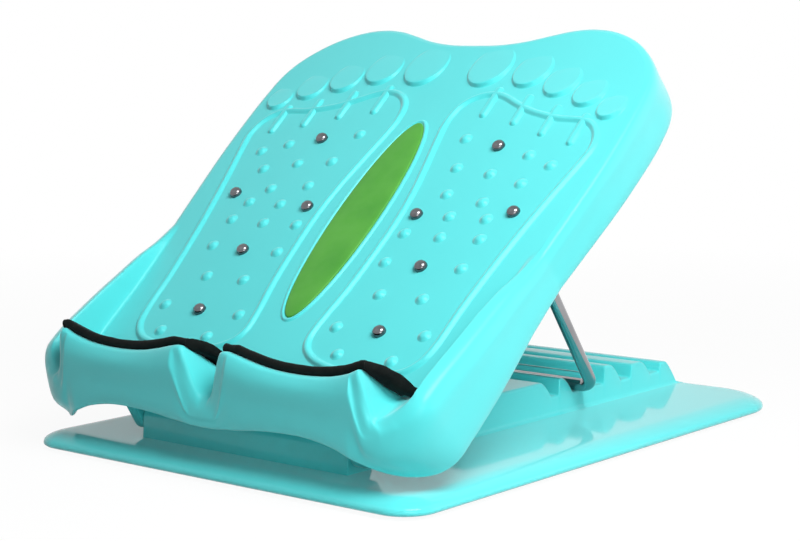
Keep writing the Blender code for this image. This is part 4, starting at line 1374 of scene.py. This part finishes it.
@dataclass
class MassageStuds:
    """The ten polished studs that stand through the plate."""

    board: FootBoard
    radius: float = 4.0
    height: float = 3.3
    rim: float = 0.5
    flatness: float = 0.9
    stem: Pair = (2.0, 4.6)

    PLACES: ClassVar[Table] = ((68.5, 266.3), (106.8, 215.2), (42.1, 208.2), (68.3, 169.4), (68.7, 120.5))

    def dress(self) -> None:
        """Builds the studs as one piece and settles it."""
        places = [(side.value * u, v, 0.0) for side in Side for u, v in self.PLACES]
        sizes = button_sizes(self.radius, self.height, self.rim, self.flatness, self.stem)
        studs = grow("massage_studs", button_tree(), sizes, BRIGHT_STUD, places, self.board.matrix())
        nodes = ["magnet_stud_%s_%d" % (side.name.lower(), i + 1)
                 for side in Side for i in range(len(self.PLACES))]
        settle(studs, Body.BOARD, BRIGHT_STUD, *nodes)


@dataclass
class BailClamps:
    """The two clamps that hold the bail under the plate, and their screws."""

    board: FootBoard
    width: float = 16.0
    pivot_w: float = -15.0
    bore: float = 4.3
    screw_v: float = 16.0
    hump: Pair = (9.0, 6.6)
    flange: float = 4.0
    flange_end: float = 6.0  # from a screw's middle to the end of its flange
    screw_radius: float = 3.1
    screw_height: float = 1.8
    screw_rim: float = 0.6
    screw_flatness: float = 0.6
    screw_stem: Pair = (1.5, 8.8)

    def outline(self) -> list[Pair]:
        """Draws a clamp from the side.

        Returns:
            The (v, w) points of its outline.
        """
        v0, face = self.board.clamp_v, -self.board.boss[2] - GAP
        low, half = face - self.flange, self.screw_v + self.flange_end
        arch = arc((v0, self.pivot_w), self.hump, 190, 350, count=16)
        return [(v0 - half, face), (v0 - half, low), (v0 - self.hump[0], low), *arch,
                (v0 + self.hump[0], low), (v0 + half, low), (v0 + half, face)]

    def dress(self) -> None:
        """Builds the clamps and the screws and settles them."""
        board, half = self.board, self.width / 2
        bore = circle(self.bore, sides=32, middle=(board.clamp_v, self.pivot_w))
        clamp = pierced(self.outline(), [bore], board.clamp_u - half, board.clamp_u + half)
        pair = both_sides(softened(clamp, width=0.5, segments=2))
        clamps = make_piece("bail_clamp_pair", pair, ZINC_STEEL, board.matrix())
        settle(clamps, Body.BOARD, ZINC_STEEL, "bail_clamp_left", "bail_clamp_right")
        # The heads face down, so the screws are set out upside down and turned over
        head = board.boss[2] + 2 * GAP + self.flange
        places = [(side.value * board.clamp_u, -(board.clamp_v + way * self.screw_v), head)
                  for side in Side for way in (-1, 1)]
        over = board.matrix() @ Matrix.Rotation(math.pi, 4, "X")
        sizes = button_sizes(self.screw_radius, self.screw_height, self.screw_rim, self.screw_flatness,
                             self.screw_stem)
        screws = grow("clamp_screws", button_tree(), sizes, ZINC_STEEL, places, over)
        nodes = ["clamp_screw_%s_%s" % (side.name.lower(), way) for side in Side for way in ("low", "high")]
        settle(screws, Body.BOARD, ZINC_STEEL, *nodes)


@dataclass
class RackBase:
    """The base plate with its rack and hinge block."""

    hinge: Pair
    half_x: float = 145.0
    half_y: float = 197.3
    middle: float = 2.3
    corner: Pair = (21.0, 42.0)  # at the front and at the rear
    thick: float = 8.5
    lift: float = 2.0
    hinge_round: float = 8.0
    block_half: float = 78.44
    rack_half: float = 71.04
    rack_front: float = 88.0
    rack_tail: float = 343.0
    last_ridge: float = 7.0  # length of the ridge behind the last notch
    recess: float = 3.2
    pocket_end: float = 22.0  # from the rows of pockets to the plate's ends
    pocket_more: float = 4.0  # how far the middle row reaches past the plate's middle third
    pocket_side: float = 16.0  # from the pockets to the feet's middles
    pocket_round: float = 3.0
    web: float = 3.0  # half the wall between two pockets
    foot_seat: float = 1.5
    root: float = 4.0  # how far the rack and the hinge block reach into the plate
    foot_radius: float = 9.0
    foot_inset: float = 38.4

    # The rim's thin edge and wide soft slope, as (inset, height)
    RIM: ClassVar[Table] = (
        (1.5, 0), (0.25, 1.0), (0.1, 2.2), (0.8, 3.8), (3.0, 5.4), (7.5, 7.2), (12.5, 8.25), (17.5, 8.5),
    )
    # Each notch's steep wall, its floor's length and height, and the height of the ridge behind it
    NOTCHES: ClassVar[tuple[tuple[float, float, float, float], ...]] = (
        (200.0, 7.5, 11.7, 22.0), (224.0, 8.0, 11.7, 22.5), (251.0, 11.0, 11.7, 23.0),
        (283.0, 11.5, 11.2, 20.0), (319.0, 12.0, 10.4, 16.5),
    )

    def top(self) -> float:
        """Returns the height of the plate's top face."""
        return self.lift + self.thick

    def foot_places(self) -> list[Pair]:
        """Returns where the feet stand, front ones first."""
        foot_x, foot_y = self.half_x - self.foot_inset, self.half_y - self.foot_inset
        return [(sx * foot_x, self.middle + sy * foot_y) for sy in (-1, 1) for sx in (-1, 1)]

    def plate(self) -> Shape:
        """Makes the plate.

        Returns:
            The plate with its rounded rim, and recesses and seats for the feet below.
        """
        rings = []
        for inset, z in spline([Vector(p) for p in self.RIM], per=4):
            half_x, half_y = self.half_x - inset, self.half_y - inset
            plan = rounded_plan((-half_x, self.middle - half_y), (half_x, self.middle + half_y),
                                self.corner[0] - inset, each=20, far=self.corner[1] - inset)
            rings.append([(x, y, self.lift + z) for x, y in plan])
        points, faces = loft(rings, caps=False)
        count = len(rings[0])
        faces.append(tuple(range(len(points) - count, len(points))))
        out, end = self.half_x - self.foot_inset - self.pocket_side, self.half_y - self.pocket_end
        third = self.half_y / 3 + self.pocket_more
        rows, web = [self.middle + y for y in (-end, -third, third, end)], self.web
        pockets = [(rounded_plan((x0, low + web), (x1, high - web), self.pocket_round, each=4), self.recess)
                   for low, high in zip(rows, rows[1:]) for x0, x1 in ((-out, -web), (web, out))]
        seats = [circle(self.foot_radius + GAP, sides=32, middle=place) for place in self.foot_places()]
        pockets += [(seat, self.foot_seat) for seat in seats]
        corners, fill, loops = filled([(x, y) for x, y, _ in rings[0]], [plan for plan, _ in pockets])
        base = len(points)
        points += [(x, y, self.lift) for x, y in corners]
        faces += [tuple(base + i for i in face) for face in fill]
        for loop, (plan, deep) in zip(loops[1:], pockets):
            start = len(points)
            points += [(x, y, self.lift + deep) for x, y in plan]
            low, high = [base + i for i in loop], list(range(start, len(points)))
            faces += [(a, b, d, c) for a, b, c, d in zip(low, low[1:] + low[:1], high, high[1:] + high[:1])]
            faces.append(tuple(high))
        return points, faces

    def rack_line(self) -> list[Pair]:
        """Draws the rack from the side.

        Returns:
            (y, height) points from its front ramp over the notches to its tail.
        """
        first, front, tail = self.NOTCHES[0][3], self.rack_front, self.rack_tail
        line = [(front - 3, -0.05), (front - 0.5, 0.1), (front + 1.5, 2.2), (front + 12, first - 3),
                (front + 18, first - 0.4), (front + 26, first)]
        ridge = first
        for wall, floor, low, high in self.NOTCHES:
            drop, start = ridge - low, wall - floor
            slope = 0.95 * drop + 1.4
            line.append((start - slope - 3.0, ridge))
            line += [(start - slope * (1 - t), ridge - drop * t**1.6) for t in (0, 0.2, 0.4, 0.6, 0.8, 0.95)]
            line += [(start + 0.5, low), (wall - 2.2, low), (wall - 0.3, low + 0.4), (wall, low + 2.4),
                     (wall + 0.7, high - 3.0), (wall + 1.6, high - 0.6), (wall + 3.4, high)]
            ridge = high
        end = self.NOTCHES[-1][0] + self.last_ridge
        line += [(end, ridge), (end + 3, ridge - 0.8), (tail - 6, 0.42 * ridge), (tail - 2.5, 2.2),
                 (tail - 0.5, 0.15), (tail + 2, -0.05)]
        return round_corners(line, rounds=3)

    def rack(self) -> Shape:
        """Makes the rack.

        Returns:
            The rack, rounded along its upper edges and flared at its foot.
        """
        line, top = self.rack_line(), self.top()
        # The edges' radius, the height that they leave alone, and no cap on the height
        turn, low, free = 1.6, 0.8, 99.0
        sides = [(self.rack_half - turn, 0.0, free)]
        for angle in (18, 36, 54, 72, 90):
            a = math.radians(angle)
            sides.append((self.rack_half - turn + turn * math.sin(a), turn * (1 - math.cos(a)), free))
        for out, cap in ((0.12, 2.4), (0.4, 1.4), (1.0, 0.6), (1.8, 0.15), (2.6, -0.05)):
            sides.append((self.rack_half + out, turn, cap))
        rings = []
        for sign, order in ((-1, sides[::-1]), (1, sides)):
            for x, shrink, cap in order:
                ring = [(sign * x, self.hinge[0] + y, top + min(max(z - shrink, min(z, low)), cap))
                        for y, z in line]
                ends = [(sign * x, self.hinge[0] + line[k][0], top - self.root) for k in (-1, 0)]
                rings.append(ring + ends)
        return loft(rings)

    def hinge_block(self) -> Shape:
        """Makes the rounded block that carries the hinge rod.

        Returns:
            The closed block.
        """
        (y, _), r, top = self.hinge, self.hinge_round, self.top()
        low = top - self.root
        outline = arc(self.hinge, (r, r), 0, 180, count=24)
        outline += [(y - r - 1, low), (y + r + 6, low), (y + r + 3, top + 3)]
        ends = [[(x, *p) for p in outline] for x in (-self.block_half, self.block_half)]
        return softened(loft(ends), width=0.8)

    def dress(self) -> None:
        """Builds the base as one piece and settles it."""
        whole = together(self.plate(), self.rack(), self.hinge_block())
        settle(make_piece("rack_base", whole, GLOSS_AQUA), Body.BASE, GLOSS_AQUA, "base_plate")


@dataclass
class SupportBail:
    """The bent rod that props the board on a notch of the rack."""

    board: FootBoard
    clamps: BailClamps
    base: RackBase
    rod: float = 4.0
    bend: float = 8.0
    leg_x: float = 83.04
    stub_inset: float = 2.0  # from the rod's ends to the clamps' outer faces
    notch: int = 1

    def dress(self) -> None:
        """Builds the bail in its notch and settles it."""
        pivot = self.board.matrix() @ Vector((0, self.board.clamp_v, self.clamps.pivot_w))
        wall, _, floor, _ = self.base.NOTCHES[self.notch]
        off = self.rod + GAP
        seat = Vector((0, self.base.hinge[0] + wall - off, self.base.top() + floor + off))
        away = seat - pivot
        stub, leg = self.board.clamp_u + self.clamps.width / 2 - self.stub_inset, away.length
        x = self.leg_x
        corners = [(-stub, 0), (-x, 0), (-x, leg), (x, leg), (x, 0), (stub, 0)]
        path = bent([Vector((*corner, 0)) for corner in corners], self.bend, each=10)
        place = Matrix.Translation(pivot) @ Matrix.Rotation(math.atan2(away.z, away.y), 4, "X")
        bail = make_piece("bent_bail", tube(path, self.rod, sides=32), BRIGHT_ROD, place)
        settle(bail, Body.BAIL, BRIGHT_ROD, "support_bail")


@dataclass
class HingeSet:
    """The hinge rod and the two clips on its ends."""

    base: RackBase
    rod: float = 3.0
    rod_half: float = 90.44
    clip_x: float = 87.64
    rod_edge: Pair = (0.7, 0.2)  # how far the rounding of its ends reaches, and how deep its middle lies
    clip: Point = (6.4, 1.6, 3.2)  # outer radius, thickness and radius of the hole
    clip_edge: float = 0.3

    def dress(self) -> None:
        """Builds the rod and the clips and settles them."""
        half, r, (far, near), sides = self.rod_half, self.rod, self.rod_edge, 32
        end = [(r, half - far), (r - near, half - near), (r - far, half), (0.0, half)]
        profile = [(radius, -x) for radius, x in end[::-1]] + end
        pin = make_piece("hinge_pin", turned(profile, self.base.hinge, sides), ZINC_STEEL)
        settle(pin, Body.BASE, ZINC_STEEL, "hinge_rod")
        (out, thick, hole), edge = self.clip, self.clip_edge
        ring = [(hole, 0.0), (out - edge, 0.0), (out, edge), (out, thick - edge), (out - edge, thick),
                (hole, thick)]
        for side in Side:
            low = self.clip_x if side is Side.RIGHT else -self.clip_x - thick
            shape = turned([(radius, low + x) for radius, x in ring], self.base.hinge, sides, bored=True)
            clip = make_piece("pin_clip_" + side.name.lower(), shape, ZINC_STEEL)
            settle(clip, Body.BASE, ZINC_STEEL, "hinge_clip_" + side.name.lower())


@dataclass
class RubberFeet:
    """The four rubber feet under the base."""

    base: RackBase
    height: float = 3.2
    edge: float = 0.8
    flatness: float = 0.25
    stem: Pair = (4.0, 1.5)

    def dress(self) -> None:
        """Builds the feet as one piece and settles it."""
        # The feet face down, so they are set out upside down and turned over
        places = [(x, -y, -self.height) for x, y in self.base.foot_places()]
        rim = self.height - self.edge
        sizes = button_sizes(self.base.foot_radius, self.edge, rim, self.flatness, self.stem)
        over = Matrix.Rotation(math.pi, 4, "X")
        feet = grow("rubber_feet", button_tree(), sizes, FOOT_RUBBER, places, over)
        nodes = ["rubber_foot_%s_%s" % (along, across)
                 for along in ("front", "rear") for across in ("left", "right")]
        settle(feet, Body.BASE, FOOT_RUBBER, *nodes)


@dataclass
class Studio:
    """The camera, soft lights, floor and white surround."""

    camera_place: Point = (713.55, -905.86, 237.6)
    azimuth: float = 39.0
    pitch: float = 6.885
    lens: float = 84.6
    sensor: float = 36.0
    ambient: float = 0.15
    ambient_tint: Point = (0.94, 0.98, 1.0)
    floor_shade: float = 0.06
    floor_tone: Pair = (0.5, 0.95)  # where it lights the object and where it is seen
    floor_fade: Pair = (0.35, 1.1)  # metres from the object
    floor_reach: float = 12.0  # metres

    # Each light's name, place, target, width, height and power in watts
    LIGHTS: ClassVar[tuple[tuple[str, Point, Point, float, float, float], ...]] = (
        ("key", (600, -270, 840), (0, -20, 120), 550, 480, 11.0),
        ("front", (650, -550, 220), (60, -120, 60), 400, 300, 1.3),
        ("side", (1250, 1000, 420), (0, 0, 110), 1100, 700, 3.0),
        ("fill", (-700, -900, 1200), (0, -50, 110), 1000, 800, 0.6),
    )

    def camera(self) -> None:
        """Sets up the camera at the photograph's viewing angle."""
        data = bpy.data.cameras.new("view")
        data.lens, data.sensor_width = self.lens, self.sensor
        data.clip_start = 0.01
        camera = bpy.data.objects.new("view", data)
        turn, drop = math.radians(self.azimuth), math.radians(self.pitch)
        ahead = Vector((-math.sin(turn) * math.cos(drop), math.cos(turn) * math.cos(drop), -math.sin(drop)))
        camera.location = Vector(self.camera_place) * MM
        camera.rotation_euler = ahead.to_track_quat("-Z", "Y").to_euler()
        bpy.context.scene.collection.objects.link(camera)
        bpy.context.scene.camera = camera

    def lights(self) -> None:
        """Hangs the soft lights."""
        for name, place, target, width, height, power in self.LIGHTS:
            data = bpy.data.lights.new(name, "AREA")
            data.shape, data.size, data.size_y, data.energy = "RECTANGLE", width * MM, height * MM, power
            lamp = bpy.data.objects.new(name, data)
            lamp.location = Vector(place) * MM
            lamp.rotation_euler = (Vector(target) - Vector(place)).to_track_quat("-Z", "Y").to_euler()
            bpy.context.scene.collection.objects.link(lamp)

    def seen(self, sheet: NodeSheet) -> bpy.types.NodeSocket:
        """Adds what tells rays that show a surround from those that light the object.

        Args:
            sheet: The nodes of the surround.

        Returns:
            A value of 1 for rays that show it.
        """
        path = sheet.add("ShaderNodeLightPath").outputs
        shown = sheet.calc("MAXIMUM", path["Is Camera Ray"], path["Is Glossy Ray"])
        return sheet.calc("MAXIMUM", shown, path["Is Transmission Ray"])

    def world(self) -> None:
        """Makes the surround, white where it is seen and softer where it lights the object."""
        world = bpy.data.worlds.new("surround")
        bpy.context.scene.world = world
        world.use_nodes = True
        sheet = NodeSheet(world.node_tree)
        sheet.tree.nodes.clear()
        soft = sheet.add("ShaderNodeBackground", Color=(*self.ambient_tint, 1), Strength=self.ambient)
        shown = sheet.add("ShaderNodeBackground", Color=(1, 1, 1, 1), Strength=1.0)
        seen = self.seen(sheet)
        choice = sheet.add("ShaderNodeMixShader", in0=seen, in1=soft.outputs[0], in2=shown.outputs[0])
        sheet.add("ShaderNodeOutputWorld", Surface=choice.outputs[0])

    def floor(self) -> None:
        """Lays the pale floor, which glows white where it is seen but keeps a faint shadow."""
        material = bpy.data.materials.new("pale floor")
        material.use_nodes = True
        sheet = NodeSheet(material.node_tree)
        sheet.tree.nodes.clear()
        seen = self.seen(sheet)
        (lit, shown), (near, far) = self.floor_tone, self.floor_fade
        tone = sheet.add("ShaderNodeMapRange", Value=seen, To_Min=lit, To_Max=shown)
        matt = sheet.add("ShaderNodeBsdfDiffuse", Color=tone.outputs["Result"])
        glow = sheet.add("ShaderNodeEmission", Color=(1, 1, 1, 1))
        # The shade thins out away from the object, so that the floor runs into the white behind it
        spot = sheet.add("ShaderNodeTexCoord").outputs["Object"]
        away = sheet.add("ShaderNodeVectorMath", {"operation": "LENGTH"}, in0=spot).outputs["Value"]
        shade = sheet.add("ShaderNodeMapRange", Value=away, From_Min=near, From_Max=far,
                          To_Min=1 - self.floor_shade, To_Max=1.0)
        share = sheet.calc("MULTIPLY", seen, shade.outputs["Result"])
        choice = sheet.add("ShaderNodeMixShader", in0=share, in1=matt.outputs[0], in2=glow.outputs[0])
        sheet.add("ShaderNodeOutputMaterial", Surface=choice.outputs[0])
        reach = self.floor_reach
        corners = [(-reach, -reach, 0), (reach, -reach, 0), (reach, reach, 0), (-reach, reach, 0)]
        mesh = bpy.data.meshes.new("floor")
        mesh.from_pydata(corners, [], [(0, 1, 2, 3)])
        mesh.materials.append(material)
        add_piece("floor", mesh)

    def dress(self) -> None:
        """Sets up everything round the object."""
        self.camera()
        self.lights()
        self.world()
        self.floor()
        bpy.context.scene.view_settings.view_transform = "Standard"


def main() -> None:
    """Builds and settles every piece."""
    logging.basicConfig(level=logging.INFO, format="%(name)s: %(message)s")
    board = FootBoard()
    base, clamps = RackBase(board.hinge_place), BailClamps(board)
    Studio().dress()
    for assembly in (board, HeelPads(board), CentreInlay(board), MassageStuds(board), clamps, base,
                     SupportBail(board, clamps, base), HingeSet(base), RubberFeet(base)):
        assembly.dress()
    bpy.context.view_layer.update()


if __name__ == "__main__":
    main()
